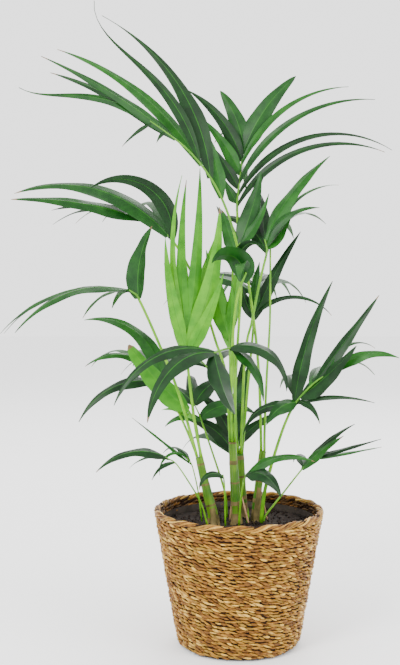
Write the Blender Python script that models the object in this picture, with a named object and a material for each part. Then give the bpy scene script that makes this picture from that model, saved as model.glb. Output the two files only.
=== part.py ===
"""A potted kentia palm: a clump of young fronds in a tapered basket woven from seagrass.

Metres, +Z up, origin at the centre of the basket's flat underside. Seen from the front, along +Y,
+X is to the right. Headings are in degrees seen from above: 0 is +X, 90 is +Y, 180 is -X.
"""

import math
from collections import namedtuple

import bmesh
import bpy
import numpy as np
from mathutils.bvhtree import BVHTree

# Basket, with its plastic liner and the soil in it
BASKET_HEIGHT = 0.204
BASKET_TOP_RADIUS = 0.1245
BASKET_FOOT_RADIUS = 0.0905
BASKET_EDGE_ROUND = 0.011
BASKET_WALL = 0.008
RIM_ROLL_RADIUS = 0.0072
RIM_OVERHANG = 0.0006
LINER_WALL = 0.0015
LINER_TOP = 0.187
SOIL_TOP = 0.180
GAP = 0.0003
TURNED_STEPS = 32

# Limbs
LIMB_SIDES = 6
LIMB_SPACING = 0.035
STEM_FLARE = 1.35
STEM_FLARE_HEIGHT = 0.018
LEVEL_CUT = np.array([0.0, 0.0, 1.0])

# Leaflets
LEAFLET_STEPS = 6
TIP_LIFT_POWER = 6
WIDEST_AT = 0.3
NECK_WIDTH = 0.3
THICKNESS_SHARE = 0.0102
LEAST_THICKNESS = 0.0009
ROOM = 0.0008
TURN_STEP = 5.0
MOST_TURNS = 14
FREE_NECK = 2

# A stem stands on the soil at foot and is cut flat at fork, where its petioles stand in a ring
Stem = namedtuple("Stem", "foot fork foot_radius fork_radius ring")

STEMS = {
    "stem_left": Stem((-0.038, -0.012), (-0.058, -0.010, 0.279), 0.0088, 0.0063, 0.0040),
    "stem_centre": Stem((-0.004, 0.000), (-0.009, 0.000, 0.300), 0.0090, 0.0063, 0.0041),
    "stem_right": Stem((0.026, 0.012), (0.036, 0.013, 0.284), 0.0078, 0.0056, 0.0028),
    "stem_back": Stem((0.008, 0.042), (0.003, 0.042, 0.275), 0.0085, 0.0064, 0.0037),
}

# A fan is a run of leaflets along a rib. Each value may be a pair, for its first and last leaflet:
# place along the rib, heading, slope at the neck and at the tip, length and width. Roll turns the
# leaflets away from the frond's face, a higher tip makes their ends more like threads, and lift
# raises the last of the tip by as many degrees.
Fan = namedtuple("Fan", "count at heading rise fall length width roll tip lift", defaults=(0, 0.8, 0))

# A frond leaves the stem's fork at turn degrees round its ring, or the soil where it has no stem.
# Petiole and rib are the places that each runs through, and the rib starts where the petiole ends.
# Radii are at the petiole's foot, at the first leaflet and at the rib's end, and face is the
# heading and slope of the way that the upper sides look.
Frond = namedtuple("Frond", "stem turn petiole rib radii face fans")

FRONDS = {
    "top_left": Frond(
        "stem_centre", 40,
        [(-0.004, 0.014, 0.400), (0.001, 0.020, 0.480), (0.003, 0.015, 0.545), (-0.008, 0.000, 0.607)],
        [(-0.034, -0.015, 0.671), (-0.075, -0.035, 0.723), (-0.127, -0.060, 0.760)],
        (0.0020, 0.0019, 0.0011), (285, 30),
        [
            Fan(1, 0.25, 168, 84, 64, 0.116, 0.024),
            Fan(2, (0.41, 0.54), (170, 204), (85, 76), (26, 5), (0.295, 0.274), (0.030, 0.018), 0, 1.6, (3, 95)),
            Fan(1, 0.52, 168, 59, 18, 0.279, 0.022, 0, 0.9),
            Fan(2, (0.78, 0.80), (206, 172), (36, 40), (19, 16), (0.222, 0.201), (0.018, 0.021), 0, 0.9),
            Fan(1, 0.90, 204, 38, -28, 0.214, 0.015, 0, 1.1, 56),
            Fan(2, (0.98, 0.87), (222, 232), (-24, -25), (-44, -59), (0.064, 0.025), 0.006),
        ],
    ),
    "upper_left": Frond(
        "stem_centre", 184,
        [(-0.019, 0.006, 0.398), (-0.032, 0.012, 0.441), (-0.061, 0.036, 0.529), (-0.093, 0.055, 0.588)],
        [(-0.111, 0.068, 0.606), (-0.157, 0.100, 0.634)],
        (0.0020, 0.0018, 0.0011), (285, 45),
        [
            Fan(1, 0.11, 196, 97, -33, 0.181, 0.027),
            Fan(1, 0.21, 166, 49, -19, 0.272, 0.034),
            Fan(2, (0.81, 0.84), (190, 160), (20, 26), (-3, -15), (0.202, 0.157), (0.028, 0.020)),
            Fan(4, (0.15, 0.90), (112, 146), (58, 24), (-40, -30), (0.210, 0.180), (0.023, 0.017)),
        ],
    ),
    "left": Frond(
        "stem_left", 215,
        [(-0.072, -0.013, 0.319), (-0.092, -0.020, 0.386), (-0.125, -0.040, 0.470), (-0.143, -0.052, 0.511)],
        [(-0.148, -0.057, 0.519), (-0.157, -0.062, 0.525)],
        (0.0022, 0.0019, 0.0012), (300, 75),
        [
            Fan(1, 0.06, 170, 82, 120, 0.106, 0.038),
            Fan(1, 0.60, 184, 110, -75, 0.058, 0.028, 35, 0.4),
            Fan(3, (0.90, 1.00), (166, 208), 14, (-51, -50), (0.213, 0.186), (0.022, 0.024)),
            Fan(2, (0.40, 0.75), (112, 132), (20, 10), (-45, -50), (0.120, 0.130), (0.018, 0.015)),
        ],
    ),
    "dark_left": Frond(
        "stem_left", 145,
        [(-0.076, 0.000, 0.316), (-0.095, 0.014, 0.354), (-0.111, 0.030, 0.380)],
        [(-0.129, 0.048, 0.404), (-0.151, 0.066, 0.420)],
        (0.0018, 0.0015, 0.0010), (300, 50),
        [
            Fan(1, 0.05, 166, 87, -13, 0.175, 0.027),
            Fan(1, 0.02, 146, 84, 4, 0.150, 0.018),
            Fan(1, 0.03, 200, 19, -64, 0.150, 0.022),
            Fan(1, 0.62, 182, 38, -40, 0.104, 0.017),
            Fan(3, (0.25, 0.98), (78, 128), (45, 18), (-48, -40), (0.170, 0.140), (0.021, 0.016)),
        ],
    ),
    "pale_left": Frond(
        "stem_left", 70,
        [(-0.061, 0.002, 0.317), (-0.066, 0.003, 0.332)],
        [(-0.072, 0.004, 0.343), (-0.078, 0.005, 0.352)],
        (0.0018, 0.0014, 0.0011), (290, 20),
        [
            Fan(1, 0.68, 190, 39, 57, 0.132, 0.035, 0, 0.4),
            Fan(1, 0.10, 150, 35, -20, 0.060, 0.012),
        ],
    ),
    "young_left": Frond(
        "stem_left", 320,
        [(-0.063, -0.010, 0.319), (-0.069, -0.006, 0.362), (-0.075, -0.002, 0.413)],
        [(-0.076, 0.000, 0.429), (-0.077, 0.004, 0.457)],
        (0.0022, 0.0020, 0.0014), (270, 8),
        [
            Fan(1, 0.43, 196, 70, 88, 0.170, 0.020),
            Fan(1, 1.00, 176, 72, 105, 0.235, 0.011),
            Fan(1, 0.75, 150, 81, 99, 0.237, 0.018),
            Fan(1, 0.67, 30, 80, 90, 0.258, 0.021),
            Fan(1, 0.50, -8, 64, 90, 0.215, 0.030),
            Fan(1, 0.30, -20, 58, 72, 0.133, 0.021),
            Fan(3, (0.20, 0.90), (128, 62), (70, 66), (66, 60), (0.150, 0.190), 0.022),
        ],
    ),
    "front": Frond(
        "stem_centre", 328,
        [(-0.006, -0.012, 0.360), (-0.007, -0.024, 0.405), (-0.006, -0.047, 0.434)],
        [(-0.017, -0.076, 0.444), (-0.038, -0.104, 0.440)],
        (0.0020, 0.0018, 0.0012), (280, 62),
        [
            Fan(2, (0.94, 1.00), (203, 224), (20, 11), (-68, -80), (0.179, 0.165), (0.024, 0.031)),
            Fan(1, 1.00, 282, -45, -12, 0.144, 0.031),
            Fan(2, (0.43, 0.24), (-14, -38), (24, -16), (-95, -90), (0.120, 0.093), (0.029, 0.022)),
        ],
    ),
    "hooded": Frond(
        "stem_centre", 256,
        [(-0.011, -0.006, 0.362), (-0.010, -0.012, 0.443), (-0.005, -0.018, 0.503), (0.001, -0.023, 0.528)],
        [(0.006, -0.028, 0.541), (0.009, -0.032, 0.549)],
        (0.0020, 0.0019, 0.0014), (270, 40),
        [
            Fan(1, 0.30, 208, 113, -54, 0.083, 0.036, 0, 0.45),
            Fan(1, 0.88, 322, 150, -73, 0.092, 0.018),
            Fan(1, 0.55, 262, 70, -70, 0.080, 0.022, 0, 0.6),
        ],
    ),
    "young_centre": Frond(
        "stem_centre", 112,
        [(-0.012, 0.010, 0.362), (-0.013, 0.016, 0.425)],
        [(-0.0135, 0.018, 0.440), (-0.014, 0.019, 0.456)],
        (0.0018, 0.0016, 0.0012), (270, 4),
        [
            Fan(1, 0.78, 178, 72, 79, 0.136, 0.029),
            Fan(1, 0.80, 8, 88, 86, 0.085, 0.015),
            Fan(2, (0.40, 0.90), (110, 70), (70, 74), (60, 66), (0.120, 0.130), (0.022, 0.020)),
        ],
    ),
    "top_right": Frond(
        "stem_right", 150,
        [(0.032, 0.026, 0.366), (0.027, 0.044, 0.446), (0.014, 0.062, 0.543), (0.003, 0.068, 0.596),
         (-0.001, 0.074, 0.639)],
        [(0.001, 0.082, 0.671), (0.010, 0.110, 0.738)],
        (0.0022, 0.0019, 0.0012), (270, 24),
        [
            Fan(2, (0.88, 0.99), (18, 160), (71, 82), (38, 51), (0.152, 0.097), (0.033, 0.029), 0, 0.6),
            Fan(4, (0.77, 0.12), (190, 176), (74, 56), (29, 66), (0.138, 0.040), (0.022, 0.017)),
            Fan(2, (0.71, 0.22), (14, 12), (68, 63), (3, -30), (0.224, 0.287), 0.011, 0, 0.9),
            Fan(2, (0.42, 0.07), (-8, -10), (67, 62), (-5, -23), (0.253, 0.256), 0.012, 0, 0.9),
            Fan(2, (0.95, 0.60), (108, 84), (48, 30), (-30, -50), (0.150, 0.140), (0.022, 0.020)),
        ],
    ),
    "upright_centre": Frond(
        "stem_back", 190,
        [(-0.006, 0.046, 0.386), (-0.008, 0.048, 0.506), (-0.008, 0.048, 0.563)],
        [(-0.004, 0.050, 0.576), (0.003, 0.052, 0.591)],
        (0.0020, 0.0016, 0.0012), (266, 10),
        [
            Fan(1, 0.90, 42, 66, 78, 0.115, 0.031),
            Fan(1, 0.82, 10, 45, 75, 0.092, 0.015),
            Fan(1, 0.46, 158, 67, 76, 0.067, 0.023),
            Fan(2, (0.30, 0.95), (104, 78), (58, 66), (16, 34), (0.130, 0.140), (0.022, 0.020)),
        ],
    ),
    "right_mid": Frond(
        "stem_back", 290,
        [(0.010, 0.033, 0.425), (0.019, 0.034, 0.469), (0.031, 0.042, 0.529), (0.041, 0.048, 0.569)],
        [(0.043, 0.051, 0.582), (0.040, 0.055, 0.596)],
        (0.0020, 0.0018, 0.0012), (236, 34),
        [
            Fan(1, 1.00, 24, 64, 34, 0.171, 0.031),
            Fan(1, 0.62, 2, 77, -5, 0.107, 0.018),
            Fan(1, 0.50, 40, 39, 48, 0.068, 0.024),
            Fan(2, (0.30, 0.90), (128, 96), (56, 62), (-5, 10), (0.130, 0.150), (0.022, 0.020)),
        ],
    ),
    "right_thin": Frond(
        "stem_right", 330,
        [(0.039, 0.020, 0.319), (0.043, 0.034, 0.402), (0.048, 0.052, 0.476), (0.049, 0.068, 0.578)],
        [(0.050, 0.071, 0.590), (0.052, 0.076, 0.606)],
        (0.0020, 0.0014, 0.0010), (236, 50),
        [
            Fan(1, 1.00, 34, 62, -2, 0.160, 0.012),
            Fan(3, (0.20, 0.90), (92, 52), (40, 44), (-45, -30), (0.150, 0.165), (0.019, 0.017)),
        ],
    ),
    "back": Frond(
        "stem_back", 20,
        [(0.012, 0.050, 0.340), (0.020, 0.066, 0.420), (0.025, 0.082, 0.470)],
        [(0.027, 0.106, 0.506), (0.026, 0.140, 0.532), (0.024, 0.180, 0.545)],
        (0.0022, 0.0018, 0.0010), (270, 50),
        [
            Fan(1, 0.04, 22, 67, 52, 0.156, 0.022),
            Fan(1, 0.07, -6, 55, -52, 0.137, 0.009),
            Fan(1, 0.09, 120, 88, 113, 0.084, 0.019),
            Fan(1, 0.05, 158, 60, 76, 0.070, 0.019),
            Fan(4, (0.40, 0.98), (52, 80), (38, 8), (-52, -46), (0.165, 0.155), (0.022, 0.016)),
            Fan(4, (0.40, 0.98), (150, 108), (38, 8), (-52, -46), (0.185, 0.165), (0.022, 0.016)),
        ],
    ),
    "back_left": Frond(
        "stem_back", 110,
        [(-0.004, 0.056, 0.305), (-0.020, 0.074, 0.350), (-0.036, 0.094, 0.384)],
        [(-0.056, 0.120, 0.408), (-0.084, 0.150, 0.420)],
        (0.0021, 0.0016, 0.0010), (300, 55),
        [
            Fan(1, 0.02, 16, 20, -40, 0.070, 0.024),
            Fan(4, (0.25, 0.98), (62, 112), (38, 10), (-55, -50), (0.165, 0.140), (0.022, 0.016)),
            Fan(3, (0.30, 0.98), (196, 158), (34, 12), (-58, -52), 0.130, (0.020, 0.016)),
        ],
    ),
    "low_dark": Frond(
        None, 0,
        [(-0.017, 0.030, 0.0), (-0.019, 0.031, 0.215), (-0.032, 0.032, 0.259), (-0.054, 0.040, 0.323)],
        [(-0.060, 0.044, 0.338), (-0.066, 0.050, 0.349)],
        (0.0018, 0.0013, 0.0009), (280, 45),
        [
            Fan(2, (0.20, 0.95), (14, 40), (44, 58), (-40, -10), (0.095, 0.090), (0.028, 0.026)),
            Fan(2, (0.10, 0.90), (182, 150), (30, 50), (-50, -20), (0.060, 0.095), (0.015, 0.020)),
            Fan(1, 1.00, 95, 50, -20, 0.120, 0.020),
        ],
    ),
    "low_back": Frond(
        None, 0,
        [(0.002, 0.066, 0.0), (-0.002, 0.070, 0.225), (-0.006, 0.072, 0.262)],
        [(-0.007, 0.073, 0.276), (-0.007, 0.075, 0.294)],
        (0.0021, 0.0015, 0.0010), (272, 35),
        [
            Fan(2, (0.30, 0.70), (182, 172), (64, 76), (2, 30), (0.105, 0.110), (0.024, 0.022)),
            Fan(2, (0.97, 0.78), (22, 60), (80, 72), (70, 80), (0.125, 0.128), 0.028),
            Fan(1, 0.42, 14, 56, 8, 0.110, 0.018),
            Fan(3, (0.20, 0.85), (126, 76), (40, 52), (-50, -35), (0.150, 0.160), (0.021, 0.019)),
        ],
    ),
    "right": Frond(
        None, 0,
        [(0.033, -0.004, 0.0), (0.037, -0.006, 0.222), (0.046, -0.010, 0.262), (0.059, -0.016, 0.308),
         (0.072, -0.022, 0.344)],
        [(0.088, -0.031, 0.371), (0.112, -0.041, 0.396), (0.138, -0.048, 0.410)],
        (0.0030, 0.0019, 0.0010), (246, 38),
        [
            Fan(1, 0.16, 20, 83, 60, 0.189, 0.025),
            Fan(2, (0.64, 0.31), (-4, -22), (55, 36), (54, 49), (0.153, 0.115), (0.022, 0.035)),
            Fan(2, (0.89, 1.00), (20, -10), (85, 48), (-37, -23), (0.100, 0.095), (0.007, 0.019)),
            Fan(2, (0.18, 0.23), (-26, -50), (21, 8), (-13, -70), (0.121, 0.058), (0.009, 0.011)),
            Fan(2, (0.21, 0.10), (210, 160), (3, 20), (-62, -80), (0.062, 0.098), (0.025, 0.018)),
            Fan(3, (0.25, 0.85), (98, 50), (48, 30), (-45, -40), (0.140, 0.135), (0.021, 0.017)),
        ],
    ),
    "low_right": Frond(
        None, 0,
        [(0.037, 0.004, 0.0), (0.041, 0.007, 0.190), (0.062, 0.020, 0.213), (0.078, 0.030, 0.231),
         (0.095, 0.036, 0.251)],
        [(0.106, 0.042, 0.261), (0.115, 0.050, 0.267)],
        (0.0016, 0.0012, 0.0009), (250, 50),
        [
            Fan(2, (0.05, 0.50), (14, 22), (46, 49), (26, 20), (0.082, 0.098), (0.018, 0.014)),
            Fan(2, (1.00, 0.90), (-4, 30), (17, 3), (16, 3), (0.105, 0.132), (0.010, 0.009)),
            Fan(2, (0.20, 0.80), (96, 60), (34, 20), (-45, -35), (0.095, 0.105), (0.015, 0.013)),
        ],
    ),
    "low_front": Frond(
        None, 0,
        [(0.000, -0.020, 0.0), (0.002, -0.024, 0.215), (0.006, -0.029, 0.246)],
        [(0.008, -0.031, 0.252), (0.010, -0.033, 0.259)],
        (0.0018, 0.0014, 0.0011), (262, 60),
        [
            Fan(2, (0.73, 0.89), (-14, -48), (49, 27), (-21, -62), (0.110, 0.082), (0.018, 0.028)),
        ],
    ),
    "tiny": Frond(
        None, 0,
        [(-0.020, -0.024, 0.0), (-0.021, -0.027, 0.228), (-0.022, -0.029, 0.246)],
        [(-0.023, -0.030, 0.252), (-0.024, -0.031, 0.257)],
        (0.0013, 0.0011, 0.0009), (285, 60),
        [
            Fan(1, 0.56, 200, 48, -93, 0.052, 0.012),
        ],
    ),
    "low_left": Frond(
        None, 0,
        [(-0.046, -0.026, 0.0), (-0.055, -0.030, 0.214), (-0.074, -0.038, 0.249), (-0.090, -0.044, 0.274)],
        [(-0.098, -0.047, 0.281), (-0.107, -0.051, 0.286)],
        (0.0014, 0.0010, 0.0008), (300, 60),
        [
            Fan(1, 0.75, 200, 32, -46, 0.116, 0.019),
            Fan(2, (0.20, 0.60), (222, 160), (10, 20), (-60, -50), (0.050, 0.070), (0.008, 0.010)),
        ],
    ),
    "sprig_left": Frond(
        None, 0,
        [(-0.054, 0.004, 0.0), (-0.060, 0.006, 0.226), (-0.068, 0.004, 0.262)],
        [(-0.072, 0.003, 0.270), (-0.077, 0.002, 0.277)],
        (0.0013, 0.0009, 0.0008), (300, 60),
        [
            Fan(1, 0.18, 186, 40, 38, 0.113, 0.008),
            Fan(1, 1.00, 210, 46, -101, 0.067, 0.006),
            Fan(1, 0.50, 120, 40, -40, 0.090, 0.011),
        ],
    ),
}

# Dry sheaths and new shoots at the foot: place on the soil, heading, slope, length, width, thickness
Spear = namedtuple("Spear", "foot heading rise length width thickness")

SPEARS = {
    "shoot": Spear((0.0135, 0.006), 0, 88, 0.022, 0.0050, 0.0040),
    "sheath_front": Spear((0.0150, -0.006), 158, 74, 0.046, 0.0052, 0.0024),
    "sheath_centre": Spear((-0.0125, 0.016), 30, 82, 0.058, 0.0058, 0.0024),
    "sheath_right": Spear((0.0430, 0.026), 200, 78, 0.052, 0.0058, 0.0024),
    "sheath_left": Spear((-0.0300, 0.006), 170, 76, 0.048, 0.0056, 0.0024),
}

# Colour, roughness and metallic value of each material
MATERIALS = {
    "seagrass": ((0.52, 0.34, 0.13), 0.75, 0.0),
    "liner": ((0.10, 0.08, 0.07), 0.45, 0.0),
    "soil": ((0.015, 0.010, 0.008), 0.95, 0.0),
    "stem": ((0.22, 0.36, 0.06), 0.55, 0.0),
    "petiole": ((0.28, 0.48, 0.06), 0.45, 0.0),
    "leaf": ((0.035, 0.14, 0.035), 0.42, 0.0),
    "young_leaf": ((0.12, 0.36, 0.04), 0.42, 0.0),
    "sheath": ((0.40, 0.27, 0.15), 0.80, 0.0),
}
YOUNG_FRONDS = ("young_left", "young_centre", "pale_left")


def clear_scene():
    for old in list(bpy.data.objects):
        bpy.data.objects.remove(old, do_unlink=True)


def make_materials():
    made = {}
    for name, (colour, roughness, metallic) in MATERIALS.items():
        material = bpy.data.materials.new(name)
        material.use_nodes = True
        shader = material.node_tree.nodes["Principled BSDF"]
        shader.inputs["Base Color"].default_value = (*colour, 1.0)
        shader.inputs["Roughness"].default_value = roughness
        shader.inputs["Metallic"].default_value = metallic
        made[name] = material
    return made


def add_object(name, bm, material, collection=None):
    """A new object from a bmesh, with its normals facing out and its round faces shaded smooth."""
    bmesh.ops.recalc_face_normals(bm, faces=bm.faces)
    mesh = bpy.data.meshes.new(name)
    bm.to_mesh(mesh)
    bm.free()
    mesh.shade_smooth()
    mesh.set_sharp_from_angle(angle=math.radians(40))
    mesh.materials.append(material)
    made = bpy.data.objects.new(name, mesh)
    (collection or bpy.context.scene.collection).objects.link(made)
    return made


def turned(name, profile, material):
    """A solid turned round Z from a profile of (radius, height) that starts and ends on the axis."""
    bm = bmesh.new()
    points = [bm.verts.new((radius, 0.0, height)) for radius, height in profile]
    edges = [bm.edges.new(pair) for pair in zip(points, points[1:])]
    bmesh.ops.spin(
        bm, geom=points + edges, cent=(0, 0, 0), axis=(0, 0, 1),
        angle=math.tau, steps=TURNED_STEPS, use_merge=True,
    )
    bmesh.ops.remove_doubles(bm, verts=bm.verts, dist=1e-6)
    return add_object(name, bm, material)


def arc(centre, radius, start, end, steps):
    """Points of (radius, height) on a round, from one angle to another in degrees."""
    angles = np.radians(np.linspace(start, end, steps + 1))
    return [(centre[0] + radius * math.cos(a), centre[1] + radius * math.sin(a)) for a in angles]


def wall_radius(height):
    """Outer radius of the basket's straight wall at a height."""
    share = height / (BASKET_HEIGHT - RIM_ROLL_RADIUS)
    return BASKET_FOOT_RADIUS + (BASKET_TOP_RADIUS - BASKET_FOOT_RADIUS) * share


def make_basket(material):
    edge = (wall_radius(BASKET_EDGE_ROUND) - BASKET_EDGE_ROUND, BASKET_EDGE_ROUND)
    rim_height = BASKET_HEIGHT - RIM_ROLL_RADIUS
    rim = (wall_radius(rim_height) - RIM_ROLL_RADIUS + RIM_OVERHANG, rim_height)
    profile = [(0.0, 0.0)]
    profile += arc(edge, BASKET_EDGE_ROUND, -90, 0, 4)
    profile += [(wall_radius(h), h) for h in (0.07, 0.13, rim_height - 2 * RIM_ROLL_RADIUS)]
    profile += arc(rim, RIM_ROLL_RADIUS, -55, 190, 8)
    inner_top = rim_height - 1.2 * RIM_ROLL_RADIUS
    profile += [(wall_radius(h) - BASKET_WALL, h) for h in (inner_top, BASKET_WALL)]
    profile += [(0.0, BASKET_WALL)]
    return turned("basket", profile, material)


def liner_radius(height):
    return wall_radius(height) - BASKET_WALL - GAP * 2


def make_liner(material):
    floor = BASKET_WALL + GAP
    inside = floor + LINER_WALL
    profile = [(0.0, floor), (liner_radius(floor), floor), (liner_radius(LINER_TOP), LINER_TOP)]
    profile += [(liner_radius(h) - LINER_WALL, h) for h in (LINER_TOP, inside)]
    profile += [(0.0, inside)]
    return turned("liner", profile, material)


def make_soil(material):
    floor = BASKET_WALL + LINER_WALL + 2 * GAP
    profile = [(0.0, floor)]
    profile += [(liner_radius(h) - LINER_WALL - 2 * GAP, h) for h in (floor, SOIL_TOP)]
    profile += [(0.0, SOIL_TOP)]
    return turned("soil", profile, material)


def smooth_route(points, spacing):
    """Places along a smooth curve through the points, about spacing apart."""
    p = np.array(points, float)
    p = np.vstack([2 * p[0] - p[1], p, 2 * p[-1] - p[-2]])
    out = []
    for i in range(1, len(p) - 2):
        steps = max(2, round(float(np.linalg.norm(p[i + 1] - p[i])) / spacing))
        for t in np.arange(steps) / steps:
            a = 2 * p[i]
            b = (p[i + 1] - p[i - 1]) * t
            c = (2 * p[i - 1] - 5 * p[i] + 4 * p[i + 1] - p[i + 2]) * t**2
            d = (3 * p[i] - p[i - 1] - 3 * p[i + 1] + p[i + 2]) * t**3
            out.append((a + b + c + d) / 2)
    return np.array(out + [p[-2]])


def unit(vector):
    return vector / np.linalg.norm(vector)


def distances(route):
    """How far along the route each of its points lies, as a share of its length."""
    run = np.concatenate([[0.0], np.cumsum(np.linalg.norm(np.diff(route, axis=0), axis=1))])
    return run / run[-1]


def limb_rings(route, radii, foot_way=None, top_way=None):
    """Round sections along a route. An end is cut square to the limb, or to the way that is given."""
    tangents = [unit(t) for t in np.gradient(route, axis=0)]
    tangents[0] = unit(route[1] - route[0]) if foot_way is None else foot_way
    tangents[-1] = unit(route[-1] - route[-2]) if top_way is None else top_way
    side = np.array([1.0, 0.0, 0.0])
    turns = np.arange(LIMB_SIDES) * math.tau / LIMB_SIDES
    rings = []
    for centre, tangent, radius in zip(route, tangents, radii):
        side = unit(side - tangent * (side @ tangent))
        other = np.cross(tangent, side)
        rings.append([centre + radius * (math.cos(a) * side + math.sin(a) * other) for a in turns])
    return rings


def loft(rings, end=None):
    """A closed bmesh through the rings, ending at a point where one is given."""
    bm = bmesh.new()
    rows = [[bm.verts.new(p) for p in ring] for ring in rings]
    count = len(rows[0])
    for low, high in zip(rows, rows[1:]):
        for i in range(count):
            j = (i + 1) % count
            bm.faces.new((low[i], low[j], high[j], high[i]))
    bm.faces.new(list(reversed(rows[0])))
    if end is None:
        bm.faces.new(rows[-1])
        return bm
    point = bm.verts.new(end)
    for i in range(count):
        bm.faces.new((rows[-1][i], rows[-1][(i + 1) % count], point))
    return bm


def stem_rings(stem):
    foot = np.array([*stem.foot, SOIL_TOP + GAP])
    fork = np.array(stem.fork)
    middle = foot + (fork - foot) * (0.4, 0.4, 0.5)
    flare_top = foot + (0.0, 0.0, STEM_FLARE_HEIGHT)
    route = smooth_route([foot, flare_top, middle, fork], LIMB_SPACING)
    share = distances(route)
    radii = stem.foot_radius + (stem.fork_radius - stem.foot_radius) * share
    height = route[:, 2] - foot[2]
    radii *= 1 + (STEM_FLARE - 1) * np.clip(1 - height / STEM_FLARE_HEIGHT, 0, 1)
    return limb_rings(route, radii, LEVEL_CUT, LEVEL_CUT)


def frond_foot(frond):
    """Where the frond's petiole starts, just clear of the stem's fork or of the soil."""
    if frond.stem is None:
        return (*frond.petiole[0][:2], SOIL_TOP + GAP)
    stem = STEMS[frond.stem]
    turn = math.radians(frond.turn)
    x = stem.fork[0] + stem.ring * math.cos(turn)
    y = stem.fork[1] + stem.ring * math.sin(turn)
    return (x, y, stem.fork[2] + GAP)


def frond_limbs(frond):
    """The petiole's and the rib's rings, and the rib's route: one smooth curve, parted by a small gap."""
    rest = frond.petiole if frond.stem else frond.petiole[1:]
    whole = smooth_route([frond_foot(frond), *rest, *frond.rib], LIMB_SPACING)
    join = int(np.argmin(np.linalg.norm(whole - rest[-1], axis=1)))
    cut = unit(whole[join + 1] - whole[join - 1])
    petiole, rib = whole[: join + 1], whole[join:].copy()
    rib[0] += cut * GAP
    foot, neck, end = frond.radii
    petiole_rings = limb_rings(petiole, foot + (neck - foot) * distances(petiole), LEVEL_CUT, cut)
    rib_rings = limb_rings(rib, neck + (end - neck) * distances(rib), cut)
    return petiole_rings, rib_rings, rib


def outline(share, width, tip):
    """Half width of a leaflet at a share of its length."""
    if share < WIDEST_AT:
        return width / 2 * (NECK_WIDTH + (1 - NECK_WIDTH) * math.sin(share / WIDEST_AT * math.pi / 2))
    return width / 2 * ((1 - share) / (1 - WIDEST_AT)) ** tip


def between(pair, share):
    """The value at a share of the run from a pair's first to its last, or the one value that holds all along."""
    if not isinstance(pair, tuple):
        return pair
    return pair[0] + (pair[1] - pair[0]) * share


def way(heading, slope):
    """Unit vector of a heading and a slope in degrees."""
    a, b = math.radians(heading), math.radians(slope)
    return np.array([math.cos(b) * math.cos(a), math.cos(b) * math.sin(a), math.sin(b)])


def slope_at(t, fan, share):
    """A leaflet's slope in degrees at a share t of its length."""
    rise, fall = between(fan.rise, share), between(fan.fall, share)
    return rise + (fall - rise) * t + between(fan.lift, share) * t**TIP_LIFT_POWER


def leaflet_rings(base, heading, fan, share, face, room=0.0):
    """Diamond sections along a leaflet's arc, and its tip. Room makes it larger all round."""
    length, width = between(fan.length, share), between(fan.width, share)
    side = way(heading + 90, 0)
    normal = way(heading, slope_at(0, fan, share) + 90)
    looks = way(*face)
    roll = math.atan2(-looks @ side, looks @ normal) + math.radians(between(fan.roll, share))
    thick = max(LEAST_THICKNESS, THICKNESS_SHARE * length) / 2 + room
    rings = []
    centre = np.array(base, float)
    for step in range(LEAFLET_STEPS):
        t = step / LEAFLET_STEPS
        normal = way(heading, slope_at(t, fan, share) + 90)
        across = math.cos(roll) * side + math.sin(roll) * normal
        out = math.cos(roll) * normal - math.sin(roll) * side
        half = outline(t, width, between(fan.tip, share)) + room
        rings.append([centre - across * half, centre - out * thick, centre + across * half, centre + out * thick])
        middle = (step + 0.5) / LEAFLET_STEPS
        centre = centre + way(heading, slope_at(middle, fan, share)) * length / LEAFLET_STEPS
    return rings, centre


def tree_of(bm):
    bm.normal_update()
    return BVHTree.FromBMesh(bm)


def ring_tree(rings, end=None):
    bm = loft(rings, end)
    tree = tree_of(bm)
    bm.free()
    return tree


def turned_aside(step):
    """0, then to one side and the other in growing steps."""
    return TURN_STEP * ((step + 1) // 2) * (-1 if step % 2 else 1)


def place_leaflets(frond, rib, others):
    """Rings of each leaflet that finds a clear way out, turned aside in small steps where it must be."""
    share_along = distances(rib)
    placed, own = [], []
    for fan in frond.fans:
        for index in range(fan.count):
            share = index / max(1, fan.count - 1)
            at = between(fan.at, share)
            base = [np.interp(at, share_along, rib[:, axis]) for axis in range(3)]
            for step in range(MOST_TURNS):
                heading = between(fan.heading, share) + turned_aside(step)
                rings, tip = leaflet_rings(base, heading, fan, share, frond.face, ROOM)
                whole = ring_tree(rings, tip)
                blade = ring_tree(rings[FREE_NECK:], tip)
                if any(whole.overlap(tree) for tree in others):
                    continue
                if any(blade.overlap(tree) for tree in own):
                    continue
                own.append(blade)
                placed.append((whole, leaflet_rings(base, heading, fan, share, frond.face)))
                break
    return placed


def keep_largest(mesh):
    """Drops the slivers that a union can leave, joined to nothing."""
    bm = bmesh.new()
    bm.from_mesh(mesh)
    left = set(bm.verts)
    pieces = []
    while left:
        front = [left.pop()]
        piece = list(front)
        while front:
            vert = front.pop()
            near = {edge.other_vert(vert) for edge in vert.link_edges} & left
            left -= near
            front += near
            piece += near
        pieces.append(piece)
    for piece in sorted(pieces, key=len)[:-1]:
        bmesh.ops.delete(bm, geom=piece, context="VERTS")
    bm.to_mesh(mesh)
    bm.free()


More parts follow.
